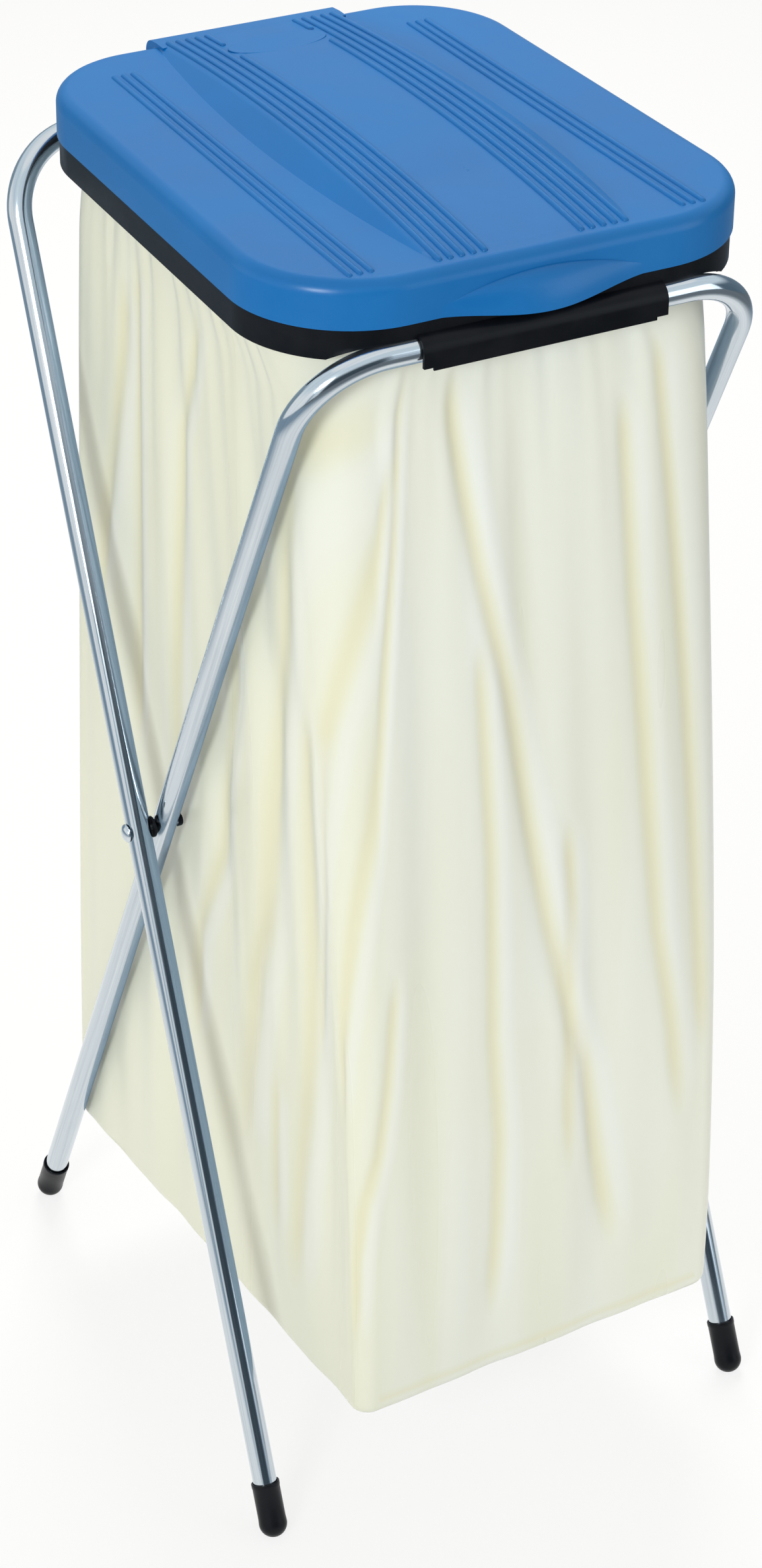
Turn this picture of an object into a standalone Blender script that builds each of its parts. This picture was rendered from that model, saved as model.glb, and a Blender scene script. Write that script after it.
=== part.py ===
"""Folding bin bag holder: two crossed U frames of bent steel tube, a plastic ring that clips over both
top bars, a hinged lid with a finger lip, and a film bag clamped in the ring. Metres, +Z up, the front is -Y."""

import math

import bmesh
import bpy
from mathutils import Matrix, Vector

# Fits
GAP = 0.0003                    # between touching pieces
RUNNING_GAP = 0.0004            # around what turns on a bar

# Tube frames, measured on the tube's centre line
TUBE_DIAMETER = 0.016
TUBE_WALL = 0.001
TUBE_BEVEL_RESOLUTION = 6
BEND_RADIUS = 0.052
BEND_STEPS = 8
BAR_HEIGHT = 0.850
BAR_SPAN = 0.381                # from the front bar to the rear bar
FOOT_SPAN = 0.402               # from the front feet to the rear feet
FRONT_BAR_HALF_WIDTH = 0.152    # to where bar and leg would meet without the bend
LEG_SPLAY = 0.009               # how far each foot stands outside its bar's end
PIVOT_SPACE = 0.0025            # between the two tubes at the pivot

# Foot caps
CAP_WALL = 0.0012
CAP_DEPTH = 0.029
CAP_FLOOR = 0.0012
CAP_WORN_FLAT = 0.0006
CAP_STEPS = 20

# Pivot rivets and spacers
RIVET_DIAMETER = 0.0054
RIVET_HEAD_DIAMETER = 0.0122
RIVET_HEAD_HEIGHT = 0.0034
RIVET_TAIL_DIAMETER = 0.0068
RIVET_TAIL_HEIGHT = 0.0024
SPACER_DIAMETER = 0.0142
ROUND_STEPS = 20

# Plan of the lid, a rounded trapezium that the ring and the bag's mouth follow at an inset
PLAN_FRONT_OVERHANG = 0.0035    # in front of the front bar's centre
PLAN_REAR_OVERHANG = 0.0005     # behind the rear bar's centre
PLAN_FRONT_SIDE = 0.0145        # outside the front bar's half width, at the front
PLAN_REAR_SIDE = 0.0045         # and at the rear
PLAN_FRONT_RADIUS = 0.076
PLAN_REAR_RADIUS = 0.068
PLAN_CORNER_STEPS = 8

# Ring; heights are from the bars' centre
RING_DROP = 0.001               # the wall's lower edge, below
RING_RISE = 0.018               # the shoulder that the lid closes on, above
RING_INSET = 0.0015
RING_WALL = 0.0025
RIM_INSET = 0.014
RIM_HEIGHT = 0.012              # above the shoulder
CLIP_WALL = 0.0022
NOTCH_GAP = 0.0006              # between the ring's wall and a bend of the tube
NOTCH_BACK = 0.014              # room behind the front bar, which leaves the clip down and back
FRONT_CLIP_HALF_LENGTH = 0.082
FRONT_CLIP_DROP = 0.0085        # below the bar's centre
FRONT_CLIP_LIP_DROP = 0.0110
FRONT_CLIP_LIP_HALF_LENGTH = 0.075
FRONT_CLIP_LIP_WALL = 0.0014
REAR_CLIP_LENGTH = 0.034
REAR_CLIP_OPENING = 120         # degrees left open below the bar
CLIP_SPACE = 0.007              # along the rear bar, between the lid's housing and the ring's clips
CLIP_ARC_STEPS = 12

# Bag and the ring that clamps its mouth
BAG_FILM = 0.0006
BAG_CUFF_DROP = 0.010
BAG_BOTTOM = 0.097
BAG_LEG_CLEARANCE = 0.0035
BAG_FORWARD = 0.0190            # how far the bottom's front stands before the front bar's centre
BAG_BACK_SHORT = 0.0150         # how far the bottom's rear stays before the rear bar's centre
BAG_TOP_CORNER_RADIUS = 0.040
BAG_BOTTOM_CORNER_RADIUS = 0.016
BAG_BULGE_STEPS = 5
CLAMP_WALL = 0.0020
CLAMP_STANDOFF = 0.0010         # above the ring's shoulder

# Lid
LID_WALL = 0.0025
LID_HEADROOM = 0.0123           # between the clamp ring and the lid
LID_EDGE_RADIUS = 0.009
LID_EDGE_STEPS = 3
PANEL_CROWN = 0.011             # height of the arched middle panel over the lid
PANEL_CROWN_BACK = 0.0135       # how far the crown lies behind the plan's middle
PANEL_FRONT_MARGIN = 0.012
PANEL_REAR_MARGIN = 0.003
PANEL_FRONT_HALF_WIDTH = 0.0655
PANEL_REAR_HALF_WIDTH = 0.0620
PANEL_SIDE_RUN = 1.64           # how far the panel's side spreads for each unit of height
PANEL_SINK = 0.0040
PANEL_STEPS = 18
RIB_RADIUS = 0.0016
RIB_SINK = 0.0002
RIB_BEVEL_RESOLUTION = 1
RIB_STEPS = 12
MIDDLE_RIB_FRONT_MARGIN = 0.014
MIDDLE_RIB_REAR_MARGIN = 0.009
SIDE_RIB_FRONT_MARGIN = 0.018
SIDE_RIB_REAR_MARGIN = 0.041
SIDE_RIBS_AT_FRONT = (0.1180, 0.1110, 0.1040)
SIDE_RIBS_AT_REAR = (0.1120, 0.1055, 0.0990)
MIDDLE_RIBS_AT_FRONT = (0.0622, 0.0547, 0.0472, 0.0397, 0.0322)
MIDDLE_RIBS_AT_REAR = (0.0590, 0.0522, 0.0453, 0.0385, 0.0316)
OVAL_REAR_MARGIN = 0.046
OVAL_HALF_LENGTH = 0.0345
OVAL_HALF_WIDTH = 0.0145
OVAL_HEIGHT = 0.0009
OVAL_STEPS = 32
GRIP_HALF_WIDTH = 0.070
GRIP_REACH = 0.0150
GRIP_HEIGHT = 0.0250
GRIP_DROP = 0.0053              # below the lid's skirt
GRIP_INSET = 0.004
HOUSING_HALF_WIDTH = 0.0660
HOUSING_ROUND = 0.0090
HOUSING_STEPS = 5
LID_CLIP_START = 0.036
LID_CLIP_LENGTH = 0.022
LID_CLIP_OPENING = 130

# Sizes that follow from the ones above
TUBE_RADIUS = TUBE_DIAMETER / 2
REAR_BAR_HALF_WIDTH = FRONT_BAR_HALF_WIDTH + TUBE_DIAMETER + PIVOT_SPACE
FRONT_BAR_Y = -BAR_SPAN / 2
REAR_BAR_Y = BAR_SPAN / 2
FRONT_FOOT_Y = -FOOT_SPAN / 2
REAR_FOOT_Y = FOOT_SPAN / 2
CAP_BORE_RADIUS = TUBE_RADIUS + GAP
CAP_RADIUS = CAP_BORE_RADIUS + CAP_WALL
FOOT_HEIGHT = CAP_RADIUS - CAP_WORN_FLAT
PIVOT_SHARE = BAR_SPAN / (BAR_SPAN + FOOT_SPAN)
PIVOT_HEIGHT = BAR_HEIGHT + (FOOT_HEIGHT - BAR_HEIGHT) * PIVOT_SHARE
INNER_LEG_X = FRONT_BAR_HALF_WIDTH + LEG_SPLAY * PIVOT_SHARE
OUTER_LEG_X = REAR_BAR_HALF_WIDTH + LEG_SPLAY * PIVOT_SHARE
SADDLE_RADIUS = TUBE_RADIUS + GAP
HINGE_BORE_RADIUS = TUBE_RADIUS + RUNNING_GAP
HINGE_CLIP_RADIUS = HINGE_BORE_RADIUS + CLIP_WALL
PLAN_FRONT = FRONT_BAR_Y - PLAN_FRONT_OVERHANG
PLAN_REAR = REAR_BAR_Y + PLAN_REAR_OVERHANG
PLAN_FRONT_HALF_WIDTH = FRONT_BAR_HALF_WIDTH + PLAN_FRONT_SIDE
PLAN_REAR_HALF_WIDTH = FRONT_BAR_HALF_WIDTH + PLAN_REAR_SIDE
RING_BOTTOM = BAR_HEIGHT - RING_DROP
RING_SHOULDER = BAR_HEIGHT + RING_RISE
RIM_TOP = RING_SHOULDER + RIM_HEIGHT
RIM_INNER_INSET = RIM_INSET + RING_WALL
FILM_INSET = RIM_INNER_INSET + GAP
CUFF_INSET = RIM_INSET - GAP
REAR_CLIP_START = HOUSING_HALF_WIDTH + CLIP_SPACE
BAG_FOLD = RIM_TOP + GAP + BAG_FILM / 2
BAG_HALF_WIDTH = FRONT_BAR_HALF_WIDTH - TUBE_RADIUS - BAG_LEG_CLEARANCE
CLAMP_BOTTOM = RING_SHOULDER + CLAMP_STANDOFF
CLAMP_TOP = BAG_FOLD + BAG_FILM / 2 + GAP + CLAMP_WALL
SKIRT_BOTTOM = RING_SHOULDER + GAP
LID_TOP = CLAMP_TOP + LID_HEADROOM + LID_WALL
PANEL_FRONT = PLAN_FRONT + PANEL_FRONT_MARGIN
PANEL_REAR = PLAN_REAR - PANEL_REAR_MARGIN
PANEL_CROWN_Y = (PLAN_FRONT + PLAN_REAR) / 2 + PANEL_CROWN_BACK
OVAL_Y = PLAN_REAR - OVAL_REAR_MARGIN
PIVOT_POINT = Vector((0, 0, PIVOT_HEIGHT))
HINGE_POINT = Vector((0, REAR_BAR_Y, BAR_HEIGHT))

for old in list(bpy.data.objects):
    bpy.data.objects.remove(old, do_unlink=True)

parts = bpy.data.collections.new("bin_bag_holder")
tools = bpy.data.collections.new("cutters")
bpy.context.scene.collection.children.link(parts)
bpy.context.scene.collection.children.link(tools)


def finish(name, colour, roughness, metallic=0.0):
    material = bpy.data.materials.new(name)
    material.use_nodes = True
    shader = material.node_tree.nodes["Principled BSDF"]
    shader.inputs["Base Color"].default_value = (*colour, 1.0)
    shader.inputs["Roughness"].default_value = roughness
    shader.inputs["Metallic"].default_value = metallic
    return material


def add_mesh_object(name, mesh, collection=tools):
    thing = bpy.data.objects.new(name, mesh)
    collection.objects.link(thing)
    if collection is tools:
        thing.hide_render = True
        thing.display_type = "WIRE"
    return thing


def mesh_from_curve(name, curve, matrix, weld=True):
    """Turns a curve into a mesh object in world coordinates, with its caps welded on."""
    guide = bpy.data.objects.new(name, curve)
    tools.objects.link(guide)
    guide.matrix_world = matrix
    bpy.context.view_layer.update()
    evaluated = guide.evaluated_get(bpy.context.evaluated_depsgraph_get())
    mesh = bpy.data.meshes.new_from_object(evaluated)
    mesh.transform(matrix)
    bpy.data.objects.remove(guide, do_unlink=True)
    if weld:
        shape = bmesh.new()
        shape.from_mesh(mesh)
        bmesh.ops.remove_doubles(shape, verts=shape.verts, dist=1e-6)
        bmesh.ops.recalc_face_normals(shape, faces=shape.faces)
        shape.to_mesh(mesh)
        shape.free()
    return add_mesh_object(name, mesh)


def add_spline(curve, points, closed):
    spline = curve.splines.new("POLY")
    spline.points.add(len(points) - 1)
    for slot, point in zip(spline.points, points):
        slot.co = (*point, 1.0) if len(point) == 3 else (*point, 0.0, 1.0)
    spline.use_cyclic_u = closed


def slab(name, outlines, start, end, along="Z"):
    """A flat outline, or an outline with holes, given a thickness along Z or along X."""
    curve = bpy.data.curves.new(name, "CURVE")
    curve.dimensions = "2D"
    curve.fill_mode = "BOTH"
    curve.extrude = (end - start) / 2
    for outline in outlines:
        add_spline(curve, outline, True)
    middle = (start + end) / 2
    if along == "Z":
        matrix = Matrix.Translation((0, 0, middle))
    else:
        # The outline's first number becomes Y and its second becomes Z.
        matrix = Matrix(((0, 0, 1, middle), (1, 0, 0, 0), (0, 1, 0, 0), (0, 0, 0, 1)))
    return mesh_from_curve(name, curve, matrix)


def rod(name, points, radius, resolution, capped=True):
    curve = bpy.data.curves.new(name, "CURVE")
    curve.dimensions = "3D"
    curve.bevel_depth = radius
    curve.bevel_resolution = resolution
    curve.use_fill_caps = capped
    add_spline(curve, points, False)
    return mesh_from_curve(name, curve, Matrix.Identity(4), weld=capped)


def turned(name, profile, steps, matrix, closed_profile=False):
    """Turns a profile of (radius, height) about its own Z axis with a Screw modifier."""
    mesh = bpy.data.meshes.new(name)
    count = len(profile)
    edges = [(i, i + 1) for i in range(count - 1)]
    if closed_profile:
        edges.append((count - 1, 0))
    mesh.from_pydata([(r, 0, z) for r, z in profile], edges, [])
    thing = add_mesh_object(name, mesh)
    screw = thing.modifiers.new("turn", "SCREW")
    screw.steps = steps
    screw.render_steps = steps
    screw.use_merge_vertices = True
    screw.merge_threshold = 1e-6
    thing.matrix_world = matrix
    bpy.context.view_layer.update()
    evaluated = thing.evaluated_get(bpy.context.evaluated_depsgraph_get())
    solid = bpy.data.meshes.new_from_object(evaluated)
    solid.transform(matrix)
    bpy.data.objects.remove(thing, do_unlink=True)
    return add_mesh_object(name, solid)


def swept(name, section):
    """A closed section of (inset, height) pairs carried around the lid's plan."""
    shape = bmesh.new()
    loops = [[shape.verts.new((*p, height)) for p in plan(inset)] for inset, height in section]
    count = len(loops[0])
    for k, upper in enumerate(loops):
        lower = loops[(k + 1) % len(loops)]
        for i in range(count):
            j = (i + 1) % count
            shape.faces.new((upper[i], lower[i], lower[j], upper[j]))
    bmesh.ops.recalc_face_normals(shape, faces=shape.faces)
    mesh = bpy.data.meshes.new(name)
    shape.to_mesh(mesh)
    shape.free()
    return add_mesh_object(name, mesh)


def joined(name, things):
    """Puts separate solids into one tool mesh."""
    shape = bmesh.new()
    for thing in things:
        shape.from_mesh(thing.data)
        bpy.data.objects.remove(thing, do_unlink=True)
    mesh = bpy.data.meshes.new(name)
    shape.to_mesh(mesh)
    shape.free()
    return add_mesh_object(name, mesh)


def boolean(thing, operation, tool):
    step = thing.modifiers.new(f"{operation.lower()}_{tool.name}", "BOOLEAN")
    step.operation = operation
    step.solver = "EXACT"
    step.object = tool


def add_part(thing, name, material, origin=None, parent=None):
    """Moves a finished mesh into the parts collection, with its origin on its joint."""
    thing.name = name
    thing.data.name = name
    tools.objects.unlink(thing)
    parts.objects.link(thing)
    thing.hide_render = False
    thing.display_type = "TEXTURED"
    thing.data.materials.clear()
    thing.data.materials.append(material)
    if origin is not None:
        thing.data.transform(Matrix.Translation(-origin))
        thing.location = origin
    if parent is not None:
        thing.location = (origin if origin is not None else Vector()) - parent.location
        thing.parent = parent
    thing.data.shade_smooth()
    thing.data.set_sharp_from_angle(angle=math.radians(35))
    return thing


def add_axis(name, point):
    axis = bpy.data.objects.new(name, None)
    parts.objects.link(axis)
    axis.location = point
    axis.empty_display_size = 0.05
    return axis


def arc(centre, radius, start, end, steps):
    """Points of an arc in a plane, angles in degrees from the first axis."""
    return [
        (
            centre[0] + radius * math.cos(math.radians(start + (end - start) * i / steps)),
            centre[1] + radius * math.sin(math.radians(start + (end - start) * i / steps)),
        )
        for i in range(steps + 1)
    ]


def rounded_outline(corners, radii, steps):
    """A closed outline through corner points, each corner rounded by its own radius."""
    points = []
    count = len(corners)
    for i, (corner, radius) in enumerate(zip(corners, radii)):
        here = Vector(corner)
        back = (Vector(corners[i - 1]) - here).normalized()
        onward = (Vector(corners[(i + 1) % count]) - here).normalized()
        half = back.angle(onward) / 2
        centre = here + (back + onward).normalized() * (radius / math.sin(half))
        start = here + back * (radius / math.tan(half)) - centre
        end = here + onward * (radius / math.tan(half)) - centre
        sweep = start.angle_signed(end)
        for k in range(steps + 1):
            turn = -sweep * k / steps
            points.append(
                (
                    centre.x + start.x * math.cos(turn) - start.y * math.sin(turn),
                    centre.y + start.x * math.sin(turn) + start.y * math.cos(turn),
                )
            )
    return points


def plan(inset):
    """The lid's plan, moved inwards by an inset."""
    slope = (PLAN_FRONT_HALF_WIDTH - PLAN_REAR_HALF_WIDTH) / (PLAN_REAR - PLAN_FRONT)
    spread = math.sqrt(1 + slope * slope)
    front_y = PLAN_FRONT + inset
    rear_y = PLAN_REAR - inset

    def half_width(y):
        return PLAN_FRONT_HALF_WIDTH - slope * (y - PLAN_FRONT) - inset * spread

    corners = [
        (half_width(front_y), front_y),
        (half_width(rear_y), rear_y),
        (-half_width(rear_y), rear_y),
        (-half_width(front_y), front_y),
    ]
    front_radius = PLAN_FRONT_RADIUS - inset
    rear_radius = PLAN_REAR_RADIUS - inset
    radii = [front_radius, rear_radius, rear_radius, front_radius]
    return rounded_outline(corners, radii, PLAN_CORNER_STEPS)


def u_tube_path(half_width, bar_y, foot_y, foot_lift=0.0):
    """Centre line of one U frame, from its left foot over the bar to its right foot."""
    corner = Vector((-half_width, bar_y, BAR_HEIGHT))
    foot = Vector((-half_width - LEG_SPLAY, foot_y, FOOT_HEIGHT))
    leg = (foot - corner).normalized()
    bar = Vector((1, 0, 0))
    half = leg.angle(bar) / 2
    centre = corner + (leg + bar).normalized() * (BEND_RADIUS / math.sin(half))
    start = corner + leg * (BEND_RADIUS / math.tan(half)) - centre
    end = corner + bar * (BEND_RADIUS / math.tan(half)) - centre
    sweep = start.angle(end)
    left = [foot - leg * foot_lift]
    for k in range(BEND_STEPS + 1):
        share = k / BEND_STEPS
        spoke = start * math.sin((1 - share) * sweep) + end * math.sin(share * sweep)
        left.append(centre + spoke / math.sin(sweep))
    right = [Vector((-p.x, p.y, p.z)) for p in reversed(left)]
    return left + right


def leg_matrix(side, half_width, bar_y, foot_y):
    """Local Z runs up the leg from the centre of the foot's round end."""
    foot = Vector((side * (half_width + LEG_SPLAY), foot_y, FOOT_HEIGHT))
    top = Vector((side * half_width, bar_y, BAR_HEIGHT))
    turn = (top - foot).to_track_quat("Z", "Y").to_matrix().to_4x4()
    return Matrix.Translation(foot) @ turn


def make_frame(name, half_width, bar_y, foot_y):
    """A bent tube, open at both ends, with a rivet hole through each leg."""
    path = u_tube_path(half_width, bar_y, foot_y, foot_lift=CAP_FLOOR + GAP)
    tube = rod(name, path, TUBE_RADIUS, TUBE_BEVEL_RESOLUTION, capped=False)
    wall = tube.modifiers.new("wall", "SOLIDIFY")
    wall.thickness = TUBE_WALL
    wall.offset = -1
    leg_x = half_width + LEG_SPLAY * PIVOT_SHARE
    holes = []
    for side in (-1, 1):
        bpy.ops.mesh.primitive_cylinder_add(
            vertices=ROUND_STEPS,
            radius=RIVET_DIAMETER / 2 + GAP,
            depth=TUBE_DIAMETER * 1.5,
            location=(side * leg_x, 0, PIVOT_HEIGHT),
            rotation=(0, math.pi / 2, 0),
        )
        hole = bpy.context.object
        bpy.ops.object.transform_apply(location=True, rotation=True, scale=True)
        bpy.context.collection.objects.unlink(hole)
        tools.objects.link(hole)
        holes.append(hole)
    boolean(tube, "DIFFERENCE", joined(f"{name}_rivet_holes", holes))
    return tube


def make_foot_cap(name, side, half_width, bar_y, foot_y):
    """A moulded cap with a round end and a small worn flat on the floor."""
    profile = [(0.0, CAP_FLOOR), (CAP_BORE_RADIUS, CAP_FLOOR), (CAP_BORE_RADIUS, CAP_DEPTH)]
    profile.append((CAP_RADIUS, CAP_DEPTH))
    profile += arc((0, 0), CAP_RADIUS, 0, -90, 6)
    profile[-1] = (0.0, -CAP_RADIUS)
    matrix = leg_matrix(side, half_width, bar_y, foot_y)
    cap = turned(name, profile, CAP_STEPS, matrix)
    bpy.ops.mesh.primitive_cube_add(size=CAP_RADIUS * 4, location=(0, 0, -CAP_RADIUS * 2))
    floor = bpy.context.object
    floor.name = f"{name}_floor"
    bpy.context.collection.objects.unlink(floor)
    tools.objects.link(floor)
    floor.hide_render = True
    floor.display_type = "WIRE"
    floor.data.transform(Matrix.Translation((side * half_width, foot_y, -CAP_RADIUS * 2)))
    floor.location = (0, 0, 0)
    boolean(cap, "DIFFERENCE", floor)
    return cap


def make_rivet(name, side):
    """Domed head outside the outer tube, shank through both tubes, set tail inside."""
    head_x = OUTER_LEG_X + TUBE_RADIUS + GAP
    tail_x = INNER_LEG_X - TUBE_RADIUS - GAP
    shank = RIVET_DIAMETER / 2
    head = RIVET_HEAD_DIAMETER / 2
    tail = RIVET_TAIL_DIAMETER / 2
    profile = [(0.0, head_x + RIVET_HEAD_HEIGHT)]
    for share in (0.45, 0.75, 0.93):
        profile.append((head * share, head_x + RIVET_HEAD_HEIGHT * math.sqrt(1 - share * share)))
    profile += [(head, head_x + RIVET_HEAD_HEIGHT * 0.15), (head, head_x)]
    profile += [(shank, head_x), (shank, tail_x), (tail, tail_x)]
    profile += [(tail, tail_x - RIVET_TAIL_HEIGHT * 0.4), (tail * 0.7, tail_x - RIVET_TAIL_HEIGHT)]
    profile.append((0.0, tail_x - RIVET_TAIL_HEIGHT))
    matrix = Matrix.Translation((0, 0, PIVOT_HEIGHT)) @ Matrix.Rotation(side * math.pi / 2, 4, "Y")
    return turned(name, profile, ROUND_STEPS, matrix)


def make_spacer(name, side):
    """A plastic washer that keeps the two tubes apart at the pivot."""
    inner_x = INNER_LEG_X + TUBE_RADIUS + GAP
    outer_x = OUTER_LEG_X - TUBE_RADIUS - GAP
    bore = RIVET_DIAMETER / 2 + GAP
    edge = SPACER_DIAMETER / 2
    profile = [(edge, outer_x), (edge, inner_x), (bore, inner_x), (bore, outer_x)]
    matrix = Matrix.Translation((0, 0, PIVOT_HEIGHT)) @ Matrix.Rotation(side * math.pi / 2, 4, "Y")
    return turned(name, profile, ROUND_STEPS, matrix, closed_profile=True)


def bend_outline(half_width, bar_y, foot_y, reach):
    """The bar and its bends seen from the front, as the outline of the room they need above and below."""
    path = u_tube_path(half_width, bar_y, foot_y)[1:-1]
    over = []
    for before, after in zip(path, path[1:]):
        along = Vector((after.x - before.x, after.z - before.z))
        if along.length < 1e-7:
            continue
        out = Vector((-along.y, along.x)).normalized() * reach
        over += [(before.x + out.x, before.z + out.y), (after.x + out.x, after.z + out.y)]
    low = BAR_HEIGHT - TUBE_DIAMETER
    over = [point for point in over if point[1] > low]
    return over + [(over[-1][0], low - TUBE_DIAMETER), (over[0][0], low - TUBE_DIAMETER)]


def bar_room(name, half_width, bar_y, foot_y, profile):
    """The room a bar needs in the ring: its side profile along the bar, ended by the shape of its bends."""
    room = slab(name, [profile], -half_width * 1.2, half_width * 1.2, along="X")
    curve = bpy.data.curves.new(f"{name}_bends", "CURVE")
    curve.dimensions = "2D"
    curve.fill_mode = "BOTH"
    curve.extrude = TUBE_DIAMETER * 2
    add_spline(curve, bend_outline(half_width, bar_y, foot_y, TUBE_RADIUS + NOTCH_GAP), True)
    matrix = Matrix(((1, 0, 0, 0), (0, 0, -1, bar_y), (0, 1, 0, 0), (0, 0, 0, 1)))
    boolean(room, "INTERSECT", mesh_from_curve(f"{name}_bends", curve, matrix))
    return room


def front_bar_room():
    """Round over the front bar, and open below and behind it."""
    low = BAR_HEIGHT - TUBE_DIAMETER
    back = FRONT_BAR_Y + NOTCH_BACK
    profile = [(back, low), (back, BAR_HEIGHT + SADDLE_RADIUS)]
    profile += arc((FRONT_BAR_Y, BAR_HEIGHT), SADDLE_RADIUS, 90, 180, CLIP_ARC_STEPS // 2)
    profile.append((FRONT_BAR_Y - SADDLE_RADIUS, low))
    return bar_room("front_bar_room", FRONT_BAR_HALF_WIDTH, FRONT_BAR_Y, REAR_FOOT_Y, profile)


def rear_bar_room():
    """Round over the rear bar, and open below it."""
    low = BAR_HEIGHT - TUBE_DIAMETER
    centre = (REAR_BAR_Y, BAR_HEIGHT)
    profile = arc(centre, HINGE_BORE_RADIUS, 0, 180, CLIP_ARC_STEPS)
    profile += [(REAR_BAR_Y - HINGE_BORE_RADIUS, low), (REAR_BAR_Y + HINGE_BORE_RADIUS, low)]
    return bar_room("rear_bar_room", REAR_BAR_HALF_WIDTH, REAR_BAR_Y, FRONT_FOOT_Y, profile)


def hinge_bore(name, half_length):
    outline = arc((REAR_BAR_Y, BAR_HEIGHT), HINGE_BORE_RADIUS, 0, 360 - 15, 23)
    return slab(name, [outline], -half_length, half_length, along="X")


def collar_blank(name, opening, start, length, side):
    """A C of plastic around the rear bar, open below, before it is bored."""
    low = -90 + opening / 2
    high = 270 - opening / 2
    centre = (REAR_BAR_Y, BAR_HEIGHT)
    outline = arc(centre, HINGE_CLIP_RADIUS, low, high, CLIP_ARC_STEPS)
    outline += arc(centre, HINGE_BORE_RADIUS * 0.6, high, low, CLIP_ARC_STEPS)
    ends = sorted((side * start, side * (start + length)))
    return slab(name, [outline], ends[0], ends[1], along="X")


def front_clip_blank(name, drop, half_length, wall):
    """The long clip over the front bar, solid, before the bar's room is cut."""
    outer = SADDLE_RADIUS + wall
    back = FRONT_BAR_Y + TUBE_RADIUS
    low = BAR_HEIGHT - drop
    outline = [(back, low), (back, BAR_HEIGHT + outer)]
    outline += arc((FRONT_BAR_Y, BAR_HEIGHT), outer, 90, 180, CLIP_ARC_STEPS // 2)
    outline.append((FRONT_BAR_Y - outer, low))
    return slab(name, [outline], -half_length, half_length, along="X")


def make_ring():
    """The black ring: outer wall, shoulder for the lid, rim for the bag, and its clips on both bars."""
    section = [
        (RING_INSET, RING_BOTTOM),
        (RING_INSET, RING_SHOULDER),
        (RIM_INSET, RING_SHOULDER),
        (RIM_INSET, RIM_TOP),
        (RIM_INNER_INSET, RIM_TOP),
        (RIM_INNER_INSET, RING_SHOULDER - RING_WALL),
        (RING_INSET + RING_WALL, RING_SHOULDER - RING_WALL),
        (RING_INSET + RING_WALL, RING_BOTTOM),
    ]
    ring = swept("holder_ring", section)
    front_size = (FRONT_CLIP_DROP, FRONT_CLIP_HALF_LENGTH, CLIP_WALL)
    boolean(ring, "UNION", front_clip_blank("front_clip", *front_size))
    lip_size = (FRONT_CLIP_LIP_DROP, FRONT_CLIP_LIP_HALF_LENGTH, FRONT_CLIP_LIP_WALL)
    boolean(ring, "UNION", front_clip_blank("front_clip_lip", *lip_size))
    boolean(ring, "DIFFERENCE", front_bar_room())
    for side, word in ((-1, "left"), (1, "right")):
        size = (REAR_CLIP_OPENING, REAR_CLIP_START, REAR_CLIP_LENGTH, side)
        boolean(ring, "UNION", collar_blank(f"rear_clip_{word}", *size))
    boolean(ring, "DIFFERENCE", hinge_bore("ring_bore", REAR_CLIP_START + REAR_CLIP_LENGTH + CLIP_WALL))
    boolean(ring, "DIFFERENCE", rear_bar_room())
    relief = arc((REAR_BAR_Y, BAR_HEIGHT), HINGE_CLIP_RADIUS + RUNNING_GAP, 0, 345, 23)
    half = HOUSING_HALF_WIDTH + RUNNING_GAP * 2
    boolean(ring, "DIFFERENCE", slab("lid_hinge_relief", [relief], -half, half, along="X"))
    return ring


def make_clamp_ring():
    """A channel ring, open below, pressed over the bag's folded mouth."""
    cuff_side = CUFF_INSET - BAG_FILM - GAP
    film_side = FILM_INSET + BAG_FILM + GAP
    under = CLAMP_TOP - CLAMP_WALL
    section = [
        (cuff_side - CLAMP_WALL, CLAMP_BOTTOM),
        (cuff_side - CLAMP_WALL, CLAMP_TOP),
        (film_side + CLAMP_WALL, CLAMP_TOP),
        (film_side + CLAMP_WALL, CLAMP_BOTTOM),
        (film_side, CLAMP_BOTTOM),
        (film_side, under),
        (cuff_side, under),
        (cuff_side, CLAMP_BOTTOM),
    ]
    return swept("bag_clamp_ring", section)


def arch_height(y):
    """Height of the middle panel over the lid's flat top."""
    reach = PANEL_CROWN_Y - PANEL_FRONT
    return PANEL_CROWN * (1 - ((y - PANEL_CROWN_Y) / reach) ** 2)


def panel_half_width(y):
    share = (y - PANEL_FRONT) / (PANEL_REAR - PANEL_FRONT)
    return PANEL_FRONT_HALF_WIDTH + (PANEL_REAR_HALF_WIDTH - PANEL_FRONT_HALF_WIDTH) * share


def make_panel(name, lower, rear):
    """The arched middle panel with spreading sides, made from a box cut into slices along Y."""
    bpy.ops.mesh.primitive_cube_add(size=1)
    panel = bpy.context.object
    panel.name = name
    bpy.context.collection.objects.unlink(panel)
    tools.objects.link(panel)
    panel.hide_render = True
    panel.display_type = "WIRE"
    shape = bmesh.new()
    shape.from_mesh(panel.data)
    length = rear - PANEL_FRONT
    for k in range(1, PANEL_STEPS):
        cut = -0.5 + k / PANEL_STEPS
        geometry = shape.verts[:] + shape.edges[:] + shape.faces[:]
        bmesh.ops.bisect_plane(shape, geom=geometry, plane_co=(0, cut, 0), plane_no=(0, 1, 0))
    base = LID_TOP - PANEL_SINK - lower
    for vert in shape.verts:
        y = PANEL_FRONT + (vert.co.y + 0.5) * length
        top = LID_TOP + arch_height(y) - lower
        height = top if vert.co.z > 0 else base
        half = panel_half_width(y) + PANEL_SIDE_RUN * (top - height) - lower
        vert.co = (math.copysign(half, vert.co.x), y, height)
    shape.to_mesh(panel.data)
    shape.free()
    return panel


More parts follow.
